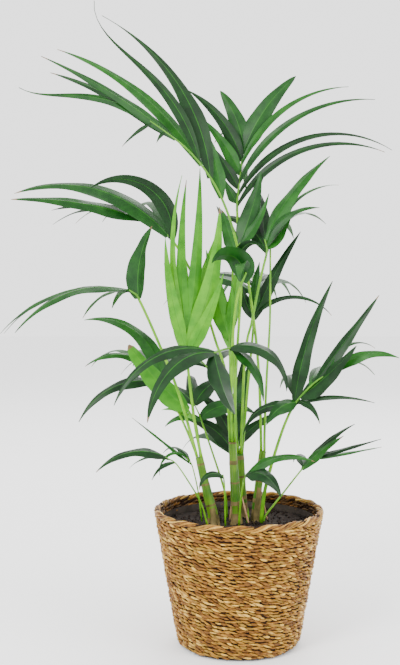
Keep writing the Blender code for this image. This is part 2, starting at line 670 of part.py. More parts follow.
def make_blade(name, rib_rings, leaflets, material):
    """The rib and its leaflets as one solid."""
    blade = add_object(name, loft(rib_rings), material)
    group = bpy.data.collections.new(name + "_leaflets")
    bpy.context.scene.collection.children.link(group)
    for number, (rings, tip) in enumerate(leaflets):
        add_object(f"{name}_{number}", loft(rings, tip), material, group)
    join = blade.modifiers.new("join", "BOOLEAN")
    join.operation = "UNION"
    join.operand_type = "COLLECTION"
    join.collection = group
    join.solver = "MANIFOLD"
    graph = bpy.context.evaluated_depsgraph_get()
    joined = bpy.data.meshes.new_from_object(blade.evaluated_get(graph))
    joined.name = name
    keep_largest(joined)
    blade.modifiers.clear()
    blade.data = joined
    for leaflet in list(group.objects):
        bpy.data.objects.remove(leaflet, do_unlink=True)
    bpy.data.collections.remove(group)
    return blade


def spear_rings(spear):
    """A narrow blade that stands on the soil, cut flat at its foot."""
    foot = np.array([*spear.foot, SOIL_TOP + GAP])
    along = way(spear.heading, spear.rise)
    across = way(spear.heading + 90, 0) * spear.width / 2
    out = way(spear.heading, 0) * spear.thickness / 2
    rings = []
    for share, size in ((0.0, 0.8), (0.45, 1.0), (0.8, 0.55)):
        centre = foot + along * spear.length * share
        rings.append([centre - across * size, centre - out, centre + across * size, centre + out])
    return rings, foot + along * spear.length


def main():
    clear_scene()
    paint = make_materials()
    make_basket(paint["seagrass"])
    make_liner(paint["liner"])
    make_soil(paint["soil"])

    obstacles = []
    for name, stem in STEMS.items():
        rings = stem_rings(stem)
        add_object(name, loft(rings), paint["stem"])
        obstacles.append((name, ring_tree(rings)))
    for name, spear in SPEARS.items():
        rings, tip = spear_rings(spear)
        add_object(name, loft(rings, tip), paint["petiole" if name == "shoot" else "sheath"])
        obstacles.append((name, ring_tree(rings, tip)))
    ribs = {}
    for name, frond in FRONDS.items():
        petiole_rings, rib_rings, rib = frond_limbs(frond)
        add_object("petiole_" + name, loft(petiole_rings), paint["petiole"])
        obstacles.append(("petiole_" + name, ring_tree(petiole_rings)))
        obstacles.append(("rib_" + name, ring_tree(rib_rings)))
        ribs[name] = (rib_rings, rib)
    for name, frond in FRONDS.items():
        rib_rings, rib = ribs[name]
        others = [tree for owner, tree in obstacles if owner != "rib_" + name]
        placed = place_leaflets(frond, rib, others)
        obstacles += [("leaflet", whole) for whole, _ in placed]
        material = paint["young_leaf" if name in YOUNG_FRONDS else "leaf"]
        make_blade("frond_" + name, rib_rings, [solid for _, solid in placed], material)


main()
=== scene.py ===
"""Looks of the potted kentia palm: fine fronds, a woven seagrass basket and loose soil.

Metres, +Z up, origin at the centre of the basket's flat underside, front towards -Y. The fronds follow
the same rule as the solids do, written again here with finer sections.
"""

import math
import random
from collections import namedtuple

import bmesh
import bpy
import numpy as np
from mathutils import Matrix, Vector, noise
from mathutils.bvhtree import BVHTree


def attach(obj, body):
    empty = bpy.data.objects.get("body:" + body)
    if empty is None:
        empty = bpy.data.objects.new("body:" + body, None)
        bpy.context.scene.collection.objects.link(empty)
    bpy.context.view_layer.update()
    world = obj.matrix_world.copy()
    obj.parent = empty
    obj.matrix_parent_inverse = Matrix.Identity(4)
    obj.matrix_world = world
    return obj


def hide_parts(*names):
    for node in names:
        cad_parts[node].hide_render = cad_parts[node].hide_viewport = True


# Basket, with its plastic liner and the soil in it
BASKET_HEIGHT = 0.204
BASKET_TOP_RADIUS = 0.1245
BASKET_FOOT_RADIUS = 0.0905
EDGE_ROUND = 0.011
BASKET_WALL = 0.008
RIM_ROLL_RADIUS = 0.0072
RIM_OVERHANG = 0.0006
LINER_WALL = 0.0015
LINER_TOP = 0.187
SOIL_TOP = 0.180
GAP = 0.0003

# Limbs, as the solids have them
LIMB_SIDES = 6
LIMB_SPACING = 0.035
STEM_FLARE = 1.35
STEM_FLARE_HEIGHT = 0.018
STEM_MIDDLE = (0.4, 0.4, 0.5)
LEVEL_CUT = np.array([0.0, 0.0, 1.0])

# Leaflets, as the solids have them
LEAFLET_STEPS = 6
TIP_LIFT_POWER = 6
WIDEST_AT = 0.3
NECK_WIDTH = 0.3
THICKNESS_SHARE = 0.0102
LEAST_THICKNESS = 0.0009
ROOM = 0.0008
TURN_STEP = 5.0
MOST_TURNS = 14
FREE_NECK = 2

# Fine leaflets: sections along, places across as shares of the half width, and the narrow band in
# the middle that is the midrib. Fold is how far an edge falls, as a share of the half width.
FINE_STEPS = 22
SPREAD = (-1.0, -0.78, -0.55, -0.30, -0.035, 0.035, 0.30, 0.55, 0.78, 1.0)
MIDRIB_REACH = 0.1
MIDRIB_HEIGHT = 0.0003
FOLD = 0.26
FOLD_POWER = 1.3
LEAST_HALF_WIDTH = 0.0004
LAST_SHARE = 0.999
SKIN = 0.00022
SKIN_LOSS_AT_EDGE = 0.7

# Pleats and edge waves have their full height where the leaflet is at least this wide from its midrib
PLEAT_HEIGHT = 0.00022
PLEAT_FULL_FROM = 0.008
EDGE_WAVE = 0.0011
WAVE_FULL_FROM = 0.010
WAVES = 2.5

# Share of the leaflets with a dry tip, and where it may start. Never is past the leaflet's end.
DRY_TIPS = 0.45
DRY_FROM = (0.90, 1.0)
NEVER = 1.1

# Fine limbs, and a stem as a twisted bundle of canes ringed with scars
FINE_SIDES = 12
FINE_SPACING = 0.012
STEM_SPACING = 0.003
STEM_DEPTH = 0.004
SCAR_SPACING = 0.030
SCAR_HEIGHT = 0.004
SCAR_SWELL = 0.06
CANES = 3
CANE_SHARE = 0.56
CANE_HOLD = 0.97
CANE_START = 1.0
CANE_TWIST = 0.9
DRY_FOOT = (0.010, 0.055)

# Spears: place and size of each section of the solids as shares of the whole, then the finer form
SPEAR_SECTIONS = ((0.0, 0.8), (0.45, 1.0), (0.8, 0.55))
SPEAR_SIDES = 8
SPEAR_STEPS = 8
SPEAR_DEPTH = 0.002
SPEAR_BEND = 0.06
SPEAR_START = 0.30
SPEAR_ROUND = 0.8
SPEAR_LEAST = 0.04

# Weave: rows of slanted grains over a core painted dark, as painted shade between the grains. Fullness
# is a grain's width as a share of its row's height, and spacing is from one to the next as a share of
# the length.
ROWS = 38
ROW_FOOT = 0.0036
ROW_TOP = 0.1945
ROW_WAVE = 0.0024
ROW_WAVE_ROUND = 9
ROW_WAVE_UP = 60
ROW_SINK = 0.45
GRAIN_LENGTH = 0.0138
GRAIN_SLANT = 14.0
GRAIN_FULLNESS = 0.86
GRAIN_SPACING = 0.62
GRAIN_DEPTH = 0.0032
GRAIN_SIDES = 6
GRAIN_STEPS = 5
GRAIN_TAPER = 2.2
GRAIN_END = 0.34
GRAIN_TUCK = 0.7
# Rows inside, under the rim: straw darkened as painted shade for the basket's shaded inside, painted
# shade between the grains, and a few grains in the plain brown straw tone
INNER_ROWS = 4
INNER_ROW_HEIGHT = 0.0045
INNER_REACH = 0.0006
INNER_TONES = ("straw_inner", "straw_inner", "gaps", "straw_brown")
CORE_INSET = 0.0032
CORE_INNER_GAP = 0.0008
CORE_LEVELS = (0.05, 0.10, 0.15)
CORE_INNER_LEVEL = 0.10
CORE_SIDES = 64
EDGE_STEPS = 6

# How far a grain may stray: along the row in spacings, in slant, out and in, up and down, and in
# length and width
STRAY_ALONG = 0.12
STRAY_SLANT = 12
STRAY_OUT = (-0.0009, 0.0007)
STRAY_UP = 0.0006
STRAY_LENGTH = (0.75, 1.35)
STRAY_WIDTH = (0.62, 1.12)

# Rim: strands wound round a bed painted dark, as painted shade between the strands. How far out a
# strand winds and how thick it is are each a share of the roll's radius and what looseness adds to it or
# takes off.
RIM_SLIMMER = 0.72
RIM_TWISTS = 11
RIM_STEPS = 320
RIM_COIL = (0.56, 0.12)
RIM_STRAND_RADIUS = (0.30, 0.07)
RIM_LOOSENESS = 8
RIM_STRAND_APART = 3.1
RIM_WAVE = 0.0009
RIM_WAVES = 19
RIM_BED = 0.5
RIM_TONES = ("straw", "straw_brown", "straw_pale", "straw", "straw_green", "straw_brown")

# Soil: rings of lumps with a skirt below, and loose crumbs. Each kind of lump has the scale of its
# noise, its share of the height and the layer of the noise that it is taken from.
SOIL_RINGS = 16
SOIL_TURNS = 72
SOIL_LUMPS = 0.0045
SOIL_DROP = 0.002
LUMPS = ((70, 1.0, 0), (190, 0.5, 3))
SKIRT_REACH = 0.96
SKIRT_DEPTH = 0.03
CRUMBS = 420
CRUMB_REACH = 0.95
CRUMB_SIZE = (0.0010, 0.0034)
CRUMB_CUT = (0.6, 1.0)
CRUMB_LIFT = 0.3
CRUMB_CORNERS = [side * axis for axis in np.eye(3) for side in (1, -1)]
CRUMB_BELT = ((0, 2), (2, 1), (1, 3), (3, 0))

# Where each run of random draws starts
PLANT_SEED = 7
WEAVE_SEED = 11
SOIL_SEED = 5

# Studio, and the photograph's camera
CAMERA_AT = (-0.057, -1.74, 0.587)
CAMERA_TILT = 4.15
FOCAL_PIXELS = 1196.0
IMAGE_HEIGHT = 665
SENSOR = 36.0
WORLD_STRENGTH = 2.3
FLOOR_REACH = 6.0
FLOOR_COLOUR = (0.93, 0.93, 0.93, 1.0)
FLOOR_ROUGHNESS = 0.9

# Place, what it points at, size and watts of each lamp
LAMPS = {
    "key": ((-1.6, -2.2, 2.2), (0, 0, 0.45), 1.0, 100),
    "fill": ((2.0, -1.6, 1.4), (0, 0, 0.45), 1.4, 40),
    "back": ((0.4, 2.0, 2.0), (0, 0, 0.5), 1.4, 40),
}

# A stem stands on the soil at foot and is cut flat at fork, where its petioles stand in a ring
Stem = namedtuple("Stem", "foot fork foot_radius fork_radius ring")

STEMS = {
    "stem_left": Stem((-0.038, -0.012), (-0.058, -0.010, 0.279), 0.0088, 0.0063, 0.0040),
    "stem_centre": Stem((-0.004, 0.000), (-0.009, 0.000, 0.300), 0.0090, 0.0063, 0.0041),
    "stem_right": Stem((0.026, 0.012), (0.036, 0.013, 0.284), 0.0078, 0.0056, 0.0028),
    "stem_back": Stem((0.008, 0.042), (0.003, 0.042, 0.275), 0.0085, 0.0064, 0.0037),
}

# A fan is a run of leaflets along a rib, or one of them. Each value may be a pair, for first and last:
# place along the rib, heading, slope at the neck and at the tip, length and width. Roll turns the
# leaflets away from the frond's face, a higher tip makes their ends more like threads, and lift
# raises the last of the tip by as many degrees.
Fan = namedtuple("Fan", "count at heading rise fall length width roll tip lift", defaults=(0, 0.8, 0))

# A frond leaves the stem's fork at turn degrees round its ring, or the soil where it has no stem.
# Petiole and rib are the places that each runs through, and the rib starts where the petiole ends.
# Radii are at the petiole's foot, at the first leaflet and at the rib's end, and face is the
# heading and slope of the way that the upper sides look.
Frond = namedtuple("Frond", "stem turn petiole rib radii face fans")


def grow(stem, turn, petiole, rib, radii, face, *fans):
    """A frond with as many fans as are given."""
    return Frond(stem, turn, petiole, rib, radii, face, fans)


FRONDS = {
    "top_left": grow(
        "stem_centre", 40,
        [(-0.004, 0.014, 0.400), (0.001, 0.020, 0.480), (0.003, 0.015, 0.545), (-0.008, 0.000, 0.607)],
        [(-0.034, -0.015, 0.671), (-0.075, -0.035, 0.723), (-0.127, -0.060, 0.760)],
        (0.0020, 0.0019, 0.0011), (285, 30),
        Fan(1, 0.25, 168, 84, 64, 0.116, 0.024),
        Fan(2, (0.41, 0.54), (170, 204), (85, 76), (26, 5), (0.295, 0.274),
            (0.030, 0.018), 0, 1.6, (3, 95)),
        Fan(1, 0.52, 168, 59, 18, 0.279, 0.022, 0, 0.9),
        Fan(2, (0.78, 0.80), (206, 172), (36, 40), (19, 16), (0.222, 0.201), (0.018, 0.021), 0, 0.9),
        Fan(1, 0.90, 204, 38, -28, 0.214, 0.015, 0, 1.1, 56),
        Fan(2, (0.98, 0.87), (222, 232), (-24, -25), (-44, -59), (0.064, 0.025), 0.006),
    ),
    "upper_left": grow(
        "stem_centre", 184,
        [(-0.019, 0.006, 0.398), (-0.032, 0.012, 0.441), (-0.061, 0.036, 0.529), (-0.093, 0.055, 0.588)],
        [(-0.111, 0.068, 0.606), (-0.157, 0.100, 0.634)],
        (0.0020, 0.0018, 0.0011), (285, 45),
        Fan(1, 0.11, 196, 97, -33, 0.181, 0.027),
        Fan(1, 0.21, 166, 49, -19, 0.272, 0.034),
        Fan(2, (0.81, 0.84), (190, 160), (20, 26), (-3, -15), (0.202, 0.157), (0.028, 0.020)),
        Fan(4, (0.15, 0.90), (112, 146), (58, 24), (-40, -30), (0.210, 0.180), (0.023, 0.017)),
    ),
    "left": grow(
        "stem_left", 215,
        [(-0.072, -0.013, 0.319), (-0.092, -0.020, 0.386), (-0.125, -0.040, 0.470),
         (-0.143, -0.052, 0.511)],
        [(-0.148, -0.057, 0.519), (-0.157, -0.062, 0.525)],
        (0.0022, 0.0019, 0.0012), (300, 75),
        Fan(1, 0.06, 170, 82, 120, 0.106, 0.038),
        Fan(1, 0.60, 184, 110, -75, 0.058, 0.028, 35, 0.4),
        Fan(3, (0.90, 1.00), (166, 208), 14, (-51, -50), (0.213, 0.186), (0.022, 0.024)),
        Fan(2, (0.40, 0.75), (112, 132), (20, 10), (-45, -50), (0.120, 0.130), (0.018, 0.015)),
    ),
    "dark_left": grow(
        "stem_left", 145,
        [(-0.076, 0.000, 0.316), (-0.095, 0.014, 0.354), (-0.111, 0.030, 0.380)],
        [(-0.129, 0.048, 0.404), (-0.151, 0.066, 0.420)],
        (0.0018, 0.0015, 0.0010), (300, 50),
        Fan(1, 0.05, 166, 87, -13, 0.175, 0.027),
        Fan(1, 0.02, 146, 84, 4, 0.150, 0.018),
        Fan(1, 0.03, 200, 19, -64, 0.150, 0.022),
        Fan(1, 0.62, 182, 38, -40, 0.104, 0.017),
        Fan(3, (0.25, 0.98), (78, 128), (45, 18), (-48, -40), (0.170, 0.140), (0.021, 0.016)),
    ),
    "pale_left": grow(
        "stem_left", 70,
        [(-0.061, 0.002, 0.317), (-0.066, 0.003, 0.332)],
        [(-0.072, 0.004, 0.343), (-0.078, 0.005, 0.352)],
        (0.0018, 0.0014, 0.0011), (290, 20),
        Fan(1, 0.68, 190, 39, 57, 0.132, 0.035, 0, 0.4),
        Fan(1, 0.10, 150, 35, -20, 0.060, 0.012),
    ),
    "young_left": grow(
        "stem_left", 320,
        [(-0.063, -0.010, 0.319), (-0.069, -0.006, 0.362), (-0.075, -0.002, 0.413)],
        [(-0.076, 0.000, 0.429), (-0.077, 0.004, 0.457)],
        (0.0022, 0.0020, 0.0014), (270, 8),
        Fan(1, 0.43, 196, 70, 88, 0.170, 0.020),
        Fan(1, 1.00, 176, 72, 105, 0.235, 0.011),
        Fan(1, 0.75, 150, 81, 99, 0.237, 0.018),
        Fan(1, 0.67, 30, 80, 90, 0.258, 0.021),
        Fan(1, 0.50, -8, 64, 90, 0.215, 0.030),
        Fan(1, 0.30, -20, 58, 72, 0.133, 0.021),
        Fan(3, (0.20, 0.90), (128, 62), (70, 66), (66, 60), (0.150, 0.190), 0.022),
    ),
    "front": grow(
        "stem_centre", 328,
        [(-0.006, -0.012, 0.360), (-0.007, -0.024, 0.405), (-0.006, -0.047, 0.434)],
        [(-0.017, -0.076, 0.444), (-0.038, -0.104, 0.440)],
        (0.0020, 0.0018, 0.0012), (280, 62),
        Fan(2, (0.94, 1.00), (203, 224), (20, 11), (-68, -80), (0.179, 0.165), (0.024, 0.031)),
        Fan(1, 1.00, 282, -45, -12, 0.144, 0.031),
        Fan(2, (0.43, 0.24), (-14, -38), (24, -16), (-95, -90), (0.120, 0.093), (0.029, 0.022)),
    ),
    "hooded": grow(
        "stem_centre", 256,
        [(-0.011, -0.006, 0.362), (-0.010, -0.012, 0.443), (-0.005, -0.018, 0.503),
         (0.001, -0.023, 0.528)],
        [(0.006, -0.028, 0.541), (0.009, -0.032, 0.549)],
        (0.0020, 0.0019, 0.0014), (270, 40),
        Fan(1, 0.30, 208, 113, -54, 0.083, 0.036, 0, 0.45),
        Fan(1, 0.88, 322, 150, -73, 0.092, 0.018),
        Fan(1, 0.55, 262, 70, -70, 0.080, 0.022, 0, 0.6),
    ),
    "young_centre": grow(
        "stem_centre", 112,
        [(-0.012, 0.010, 0.362), (-0.013, 0.016, 0.425)],
        [(-0.0135, 0.018, 0.440), (-0.014, 0.019, 0.456)],
        (0.0018, 0.0016, 0.0012), (270, 4),
        Fan(1, 0.78, 178, 72, 79, 0.136, 0.029),
        Fan(1, 0.80, 8, 88, 86, 0.085, 0.015),
        Fan(2, (0.40, 0.90), (110, 70), (70, 74), (60, 66), (0.120, 0.130), (0.022, 0.020)),
    ),
    "top_right": grow(
        "stem_right", 150,
        [(0.032, 0.026, 0.366), (0.027, 0.044, 0.446), (0.014, 0.062, 0.543), (0.003, 0.068, 0.596),
         (-0.001, 0.074, 0.639)],
        [(0.001, 0.082, 0.671), (0.010, 0.110, 0.738)],
        (0.0022, 0.0019, 0.0012), (270, 24),
        Fan(2, (0.88, 0.99), (18, 160), (71, 82), (38, 51), (0.152, 0.097), (0.033, 0.029), 0, 0.6),
        Fan(4, (0.77, 0.12), (190, 176), (74, 56), (29, 66), (0.138, 0.040), (0.022, 0.017)),
        Fan(2, (0.71, 0.22), (14, 12), (68, 63), (3, -30), (0.224, 0.287), 0.011, 0, 0.9),
        Fan(2, (0.42, 0.07), (-8, -10), (67, 62), (-5, -23), (0.253, 0.256), 0.012, 0, 0.9),
        Fan(2, (0.95, 0.60), (108, 84), (48, 30), (-30, -50), (0.150, 0.140), (0.022, 0.020)),
    ),
    "upright_centre": grow(
        "stem_back", 190,
        [(-0.006, 0.046, 0.386), (-0.008, 0.048, 0.506), (-0.008, 0.048, 0.563)],
        [(-0.004, 0.050, 0.576), (0.003, 0.052, 0.591)],
        (0.0020, 0.0016, 0.0012), (266, 10),
        Fan(1, 0.90, 42, 66, 78, 0.115, 0.031),
        Fan(1, 0.82, 10, 45, 75, 0.092, 0.015),
        Fan(1, 0.46, 158, 67, 76, 0.067, 0.023),
        Fan(2, (0.30, 0.95), (104, 78), (58, 66), (16, 34), (0.130, 0.140), (0.022, 0.020)),
    ),
    "right_mid": grow(
        "stem_back", 290,
        [(0.010, 0.033, 0.425), (0.019, 0.034, 0.469), (0.031, 0.042, 0.529), (0.041, 0.048, 0.569)],
        [(0.043, 0.051, 0.582), (0.040, 0.055, 0.596)],
        (0.0020, 0.0018, 0.0012), (236, 34),
        Fan(1, 1.00, 24, 64, 34, 0.171, 0.031),
        Fan(1, 0.62, 2, 77, -5, 0.107, 0.018),
        Fan(1, 0.50, 40, 39, 48, 0.068, 0.024),
        Fan(2, (0.30, 0.90), (128, 96), (56, 62), (-5, 10), (0.130, 0.150), (0.022, 0.020)),
    ),
    "right_thin": grow(
        "stem_right", 330,
        [(0.039, 0.020, 0.319), (0.043, 0.034, 0.402), (0.048, 0.052, 0.476), (0.049, 0.068, 0.578)],
        [(0.050, 0.071, 0.590), (0.052, 0.076, 0.606)],
        (0.0020, 0.0014, 0.0010), (236, 50),
        Fan(1, 1.00, 34, 62, -2, 0.160, 0.012),
        Fan(3, (0.20, 0.90), (92, 52), (40, 44), (-45, -30), (0.150, 0.165), (0.019, 0.017)),
    ),
    "back": grow(
        "stem_back", 20,
        [(0.012, 0.050, 0.340), (0.020, 0.066, 0.420), (0.025, 0.082, 0.470)],
        [(0.027, 0.106, 0.506), (0.026, 0.140, 0.532), (0.024, 0.180, 0.545)],
        (0.0022, 0.0018, 0.0010), (270, 50),
        Fan(1, 0.04, 22, 67, 52, 0.156, 0.022),
        Fan(1, 0.07, -6, 55, -52, 0.137, 0.009),
        Fan(1, 0.09, 120, 88, 113, 0.084, 0.019),
        Fan(1, 0.05, 158, 60, 76, 0.070, 0.019),
        Fan(4, (0.40, 0.98), (52, 80), (38, 8), (-52, -46), (0.165, 0.155), (0.022, 0.016)),
        Fan(4, (0.40, 0.98), (150, 108), (38, 8), (-52, -46), (0.185, 0.165), (0.022, 0.016)),
    ),
    "back_left": grow(
        "stem_back", 110,
        [(-0.004, 0.056, 0.305), (-0.020, 0.074, 0.350), (-0.036, 0.094, 0.384)],
        [(-0.056, 0.120, 0.408), (-0.084, 0.150, 0.420)],
        (0.0021, 0.0016, 0.0010), (300, 55),
        Fan(1, 0.02, 16, 20, -40, 0.070, 0.024),
        Fan(4, (0.25, 0.98), (62, 112), (38, 10), (-55, -50), (0.165, 0.140), (0.022, 0.016)),
        Fan(3, (0.30, 0.98), (196, 158), (34, 12), (-58, -52), 0.130, (0.020, 0.016)),
    ),
    "low_dark": grow(
        None, 0,
        [(-0.017, 0.030, 0.0), (-0.019, 0.031, 0.215), (-0.032, 0.032, 0.259), (-0.054, 0.040, 0.323)],
        [(-0.060, 0.044, 0.338), (-0.066, 0.050, 0.349)],
        (0.0018, 0.0013, 0.0009), (280, 45),
        Fan(2, (0.20, 0.95), (14, 40), (44, 58), (-40, -10), (0.095, 0.090), (0.028, 0.026)),
        Fan(2, (0.10, 0.90), (182, 150), (30, 50), (-50, -20), (0.060, 0.095), (0.015, 0.020)),
        Fan(1, 1.00, 95, 50, -20, 0.120, 0.020),
    ),
    "low_back": grow(
        None, 0,
        [(0.002, 0.066, 0.0), (-0.002, 0.070, 0.225), (-0.006, 0.072, 0.262)],
        [(-0.007, 0.073, 0.276), (-0.007, 0.075, 0.294)],
        (0.0021, 0.0015, 0.0010), (272, 35),
        Fan(2, (0.30, 0.70), (182, 172), (64, 76), (2, 30), (0.105, 0.110), (0.024, 0.022)),
        Fan(2, (0.97, 0.78), (22, 60), (80, 72), (70, 80), (0.125, 0.128), 0.028),
        Fan(1, 0.42, 14, 56, 8, 0.110, 0.018),
        Fan(3, (0.20, 0.85), (126, 76), (40, 52), (-50, -35), (0.150, 0.160), (0.021, 0.019)),
    ),
    "right": grow(
        None, 0,
        [(0.033, -0.004, 0.0), (0.037, -0.006, 0.222), (0.046, -0.010, 0.262), (0.059, -0.016, 0.308),
         (0.072, -0.022, 0.344)],
        [(0.088, -0.031, 0.371), (0.112, -0.041, 0.396), (0.138, -0.048, 0.410)],
        (0.0030, 0.0019, 0.0010), (246, 38),
        Fan(1, 0.16, 20, 83, 60, 0.189, 0.025),
        Fan(2, (0.64, 0.31), (-4, -22), (55, 36), (54, 49), (0.153, 0.115), (0.022, 0.035)),
        Fan(2, (0.89, 1.00), (20, -10), (85, 48), (-37, -23), (0.100, 0.095), (0.007, 0.019)),
        Fan(2, (0.18, 0.23), (-26, -50), (21, 8), (-13, -70), (0.121, 0.058), (0.009, 0.011)),
        Fan(2, (0.21, 0.10), (210, 160), (3, 20), (-62, -80), (0.062, 0.098), (0.025, 0.018)),
        Fan(3, (0.25, 0.85), (98, 50), (48, 30), (-45, -40), (0.140, 0.135), (0.021, 0.017)),
    ),
    "low_right": grow(
        None, 0,
        [(0.037, 0.004, 0.0), (0.041, 0.007, 0.190), (0.062, 0.020, 0.213), (0.078, 0.030, 0.231),
         (0.095, 0.036, 0.251)],
        [(0.106, 0.042, 0.261), (0.115, 0.050, 0.267)],
        (0.0016, 0.0012, 0.0009), (250, 50),
        Fan(2, (0.05, 0.50), (14, 22), (46, 49), (26, 20), (0.082, 0.098), (0.018, 0.014)),
        Fan(2, (1.00, 0.90), (-4, 30), (17, 3), (16, 3), (0.105, 0.132), (0.010, 0.009)),
        Fan(2, (0.20, 0.80), (96, 60), (34, 20), (-45, -35), (0.095, 0.105), (0.015, 0.013)),
    ),
    "low_front": grow(
        None, 0,
        [(0.000, -0.020, 0.0), (0.002, -0.024, 0.215), (0.006, -0.029, 0.246)],
        [(0.008, -0.031, 0.252), (0.010, -0.033, 0.259)],
        (0.0018, 0.0014, 0.0011), (262, 60),
        Fan(2, (0.73, 0.89), (-14, -48), (49, 27), (-21, -62), (0.110, 0.082), (0.018, 0.028)),
    ),
    "tiny": grow(
        None, 0,
        [(-0.020, -0.024, 0.0), (-0.021, -0.027, 0.228), (-0.022, -0.029, 0.246)],
        [(-0.023, -0.030, 0.252), (-0.024, -0.031, 0.257)],
        (0.0013, 0.0011, 0.0009), (285, 60),
        Fan(1, 0.56, 200, 48, -93, 0.052, 0.012),
    ),
    "low_left": grow(
        None, 0,
        [(-0.046, -0.026, 0.0), (-0.055, -0.030, 0.214), (-0.074, -0.038, 0.249),
         (-0.090, -0.044, 0.274)],
        [(-0.098, -0.047, 0.281), (-0.107, -0.051, 0.286)],
        (0.0014, 0.0010, 0.0008), (300, 60),
        Fan(1, 0.75, 200, 32, -46, 0.116, 0.019),
        Fan(2, (0.20, 0.60), (222, 160), (10, 20), (-60, -50), (0.050, 0.070), (0.008, 0.010)),
    ),
    "sprig_left": grow(
        None, 0,
        [(-0.054, 0.004, 0.0), (-0.060, 0.006, 0.226), (-0.068, 0.004, 0.262)],
        [(-0.072, 0.003, 0.270), (-0.077, 0.002, 0.277)],
        (0.0013, 0.0009, 0.0008), (300, 60),
        Fan(1, 0.18, 186, 40, 38, 0.113, 0.008),
        Fan(1, 1.00, 210, 46, -101, 0.067, 0.006),
        Fan(1, 0.50, 120, 40, -40, 0.090, 0.011),
    ),
}

# Dry sheaths and a new shoot at the foot: place on the soil, heading, slope, length, width, thickness
Spear = namedtuple("Spear", "foot heading rise length width thickness")

SPEARS = {
    "shoot": Spear((0.0135, 0.006), 0, 88, 0.022, 0.0050, 0.0040),
    "sheath_front": Spear((0.0150, -0.006), 158, 74, 0.046, 0.0052, 0.0024),
    "sheath_centre": Spear((-0.0125, 0.016), 30, 82, 0.058, 0.0058, 0.0024),
    "sheath_right": Spear((0.0430, 0.026), 200, 78, 0.052, 0.0058, 0.0024),
    "sheath_left": Spear((-0.0300, 0.006), 170, 76, 0.048, 0.0056, 0.0024),
}

# Base colour, second colour that noise brings in, roughness and the noise's scale
PAINTS = {
    "leaf_dark": ((0.0011, 0.016, 0.0019), (0.003, 0.0289, 0.003), 0.42, 60),
    "leaf_mid": ((0.0023, 0.0334, 0.0023), (0.0061, 0.0562, 0.0038), 0.42, 60),
    "leaf_light": ((0.0046, 0.0562, 0.0023), (0.0106, 0.0874, 0.0046), 0.42, 60),
    "leaf_under": ((0.0076, 0.057, 0.0046), (0.0167, 0.0874, 0.0076), 0.50, 60),
    "midrib": ((0.0122, 0.0874, 0.0046), (0.0198, 0.114, 0.0061), 0.42, 60),
    "young_upper": ((0.0182, 0.1292, 0.0015), (0.038, 0.1976, 0.003), 0.42, 50),
    "young_light": ((0.038, 0.1976, 0.003), (0.076, 0.2812, 0.0053), 0.42, 50),
    "young_under": ((0.0274, 0.1406, 0.003), (0.0532, 0.2052, 0.0053), 0.50, 50),
    "dry": ((0.18, 0.13, 0.06), (0.11, 0.07, 0.035), 0.70, 120),
    "petiole": ((0.0684, 0.2204, 0.0038), (0.1368, 0.3344, 0.0068), 0.38, 40),
    "rib": ((0.0532, 0.1748, 0.0106), (0.0912, 0.2508, 0.0152), 0.40, 40),
    "stem": ((0.0274, 0.1064, 0.0046), (0.0836, 0.1824, 0.0076), 0.42, 30),
    "stem_foot": ((0.1596, 0.114, 0.0418), (0.0684, 0.057, 0.0152), 0.65, 60),
    "sheath": ((0.48, 0.30, 0.17), (0.26, 0.15, 0.08), 0.80, 90),
    "straw": ((0.328, 0.164, 0.0213), (0.1968, 0.0861, 0.0098), 0.48, 160),
    "straw_pale": ((0.5412, 0.3362, 0.0738), (0.3444, 0.1886, 0.0295), 0.40, 160),
    "straw_brown": ((0.1886, 0.0779, 0.0098), (0.0902, 0.0344, 0.0041), 0.50, 160),
    "straw_green": ((0.2788, 0.1599, 0.0213), (0.164, 0.082, 0.0098), 0.48, 160),
    # Straw darkened as painted shade, for the rows inside the basket
    "straw_inner": ((0.0984, 0.0492, 0.0148), (0.0369, 0.0164, 0.0049), 0.60, 160),
    # Painted shade: the dark seen between the grains of the weave and the strands of the rim
    "gaps": ((0.022, 0.007, 0.001), (0.012, 0.004, 0.001), 0.90, 80),
    "liner": ((0.05, 0.038, 0.03), (0.026, 0.019, 0.015), 0.45, 60),
    "soil": ((0.008, 0.005, 0.004), (0.022, 0.013, 0.008), 0.95, 220),
}

# Fronds that are still pale, and the tones that leaflets and grains take by chance
YOUNG_FRONDS = ("young_left", "young_centre", "pale_left")
LEAF_TONES = ("leaf_dark", "leaf_dark", "leaf_mid", "leaf_mid", "leaf_light")
YOUNG_TONES = ("young_upper", "young_light")
STRAW_TONES = ("straw", "straw", "straw_pale", "straw_brown", "straw_brown", "straw_green")

# For all of these: sheen, bump, and where the noise passes from one colour to the other. The crease
# is the angle at which a leaf's faces meet in a sharp edge.
SHEEN = 0.20
BUMP = 0.25
BUMP_HEIGHT = 0.0004
NOISE_DETAIL = 4.0
NOISE_FROM = 0.38
NOISE_TO = 0.62
LEAF_CREASE = 50


def wall_radius(height):
    """Outer radius of the basket's straight wall at a height."""
    share = height / (BASKET_HEIGHT - RIM_ROLL_RADIUS)
    return BASKET_FOOT_RADIUS + (BASKET_TOP_RADIUS - BASKET_FOOT_RADIUS) * share


def polar(radius, angle):
    """Level place at a radius and an angle in radians."""
    return radius * math.cos(angle), radius * math.sin(angle)


def smooth_route(points, spacing):
    """Places along a smooth curve through the points, about spacing apart."""
    p = np.array(points, float)
    p = np.vstack([2 * p[0] - p[1], p, 2 * p[-1] - p[-2]])
    out = []
    for i in range(1, len(p) - 2):
        steps = max(2, round(float(np.linalg.norm(p[i + 1] - p[i])) / spacing))
        for t in np.arange(steps) / steps:
            a = 2 * p[i]
            b = (p[i + 1] - p[i - 1]) * t
            c = (2 * p[i - 1] - 5 * p[i] + 4 * p[i + 1] - p[i + 2]) * t**2
            d = (3 * p[i] - p[i - 1] - 3 * p[i + 1] + p[i + 2]) * t**3
            out.append((a + b + c + d) / 2)
    return np.array(out + [p[-2]])


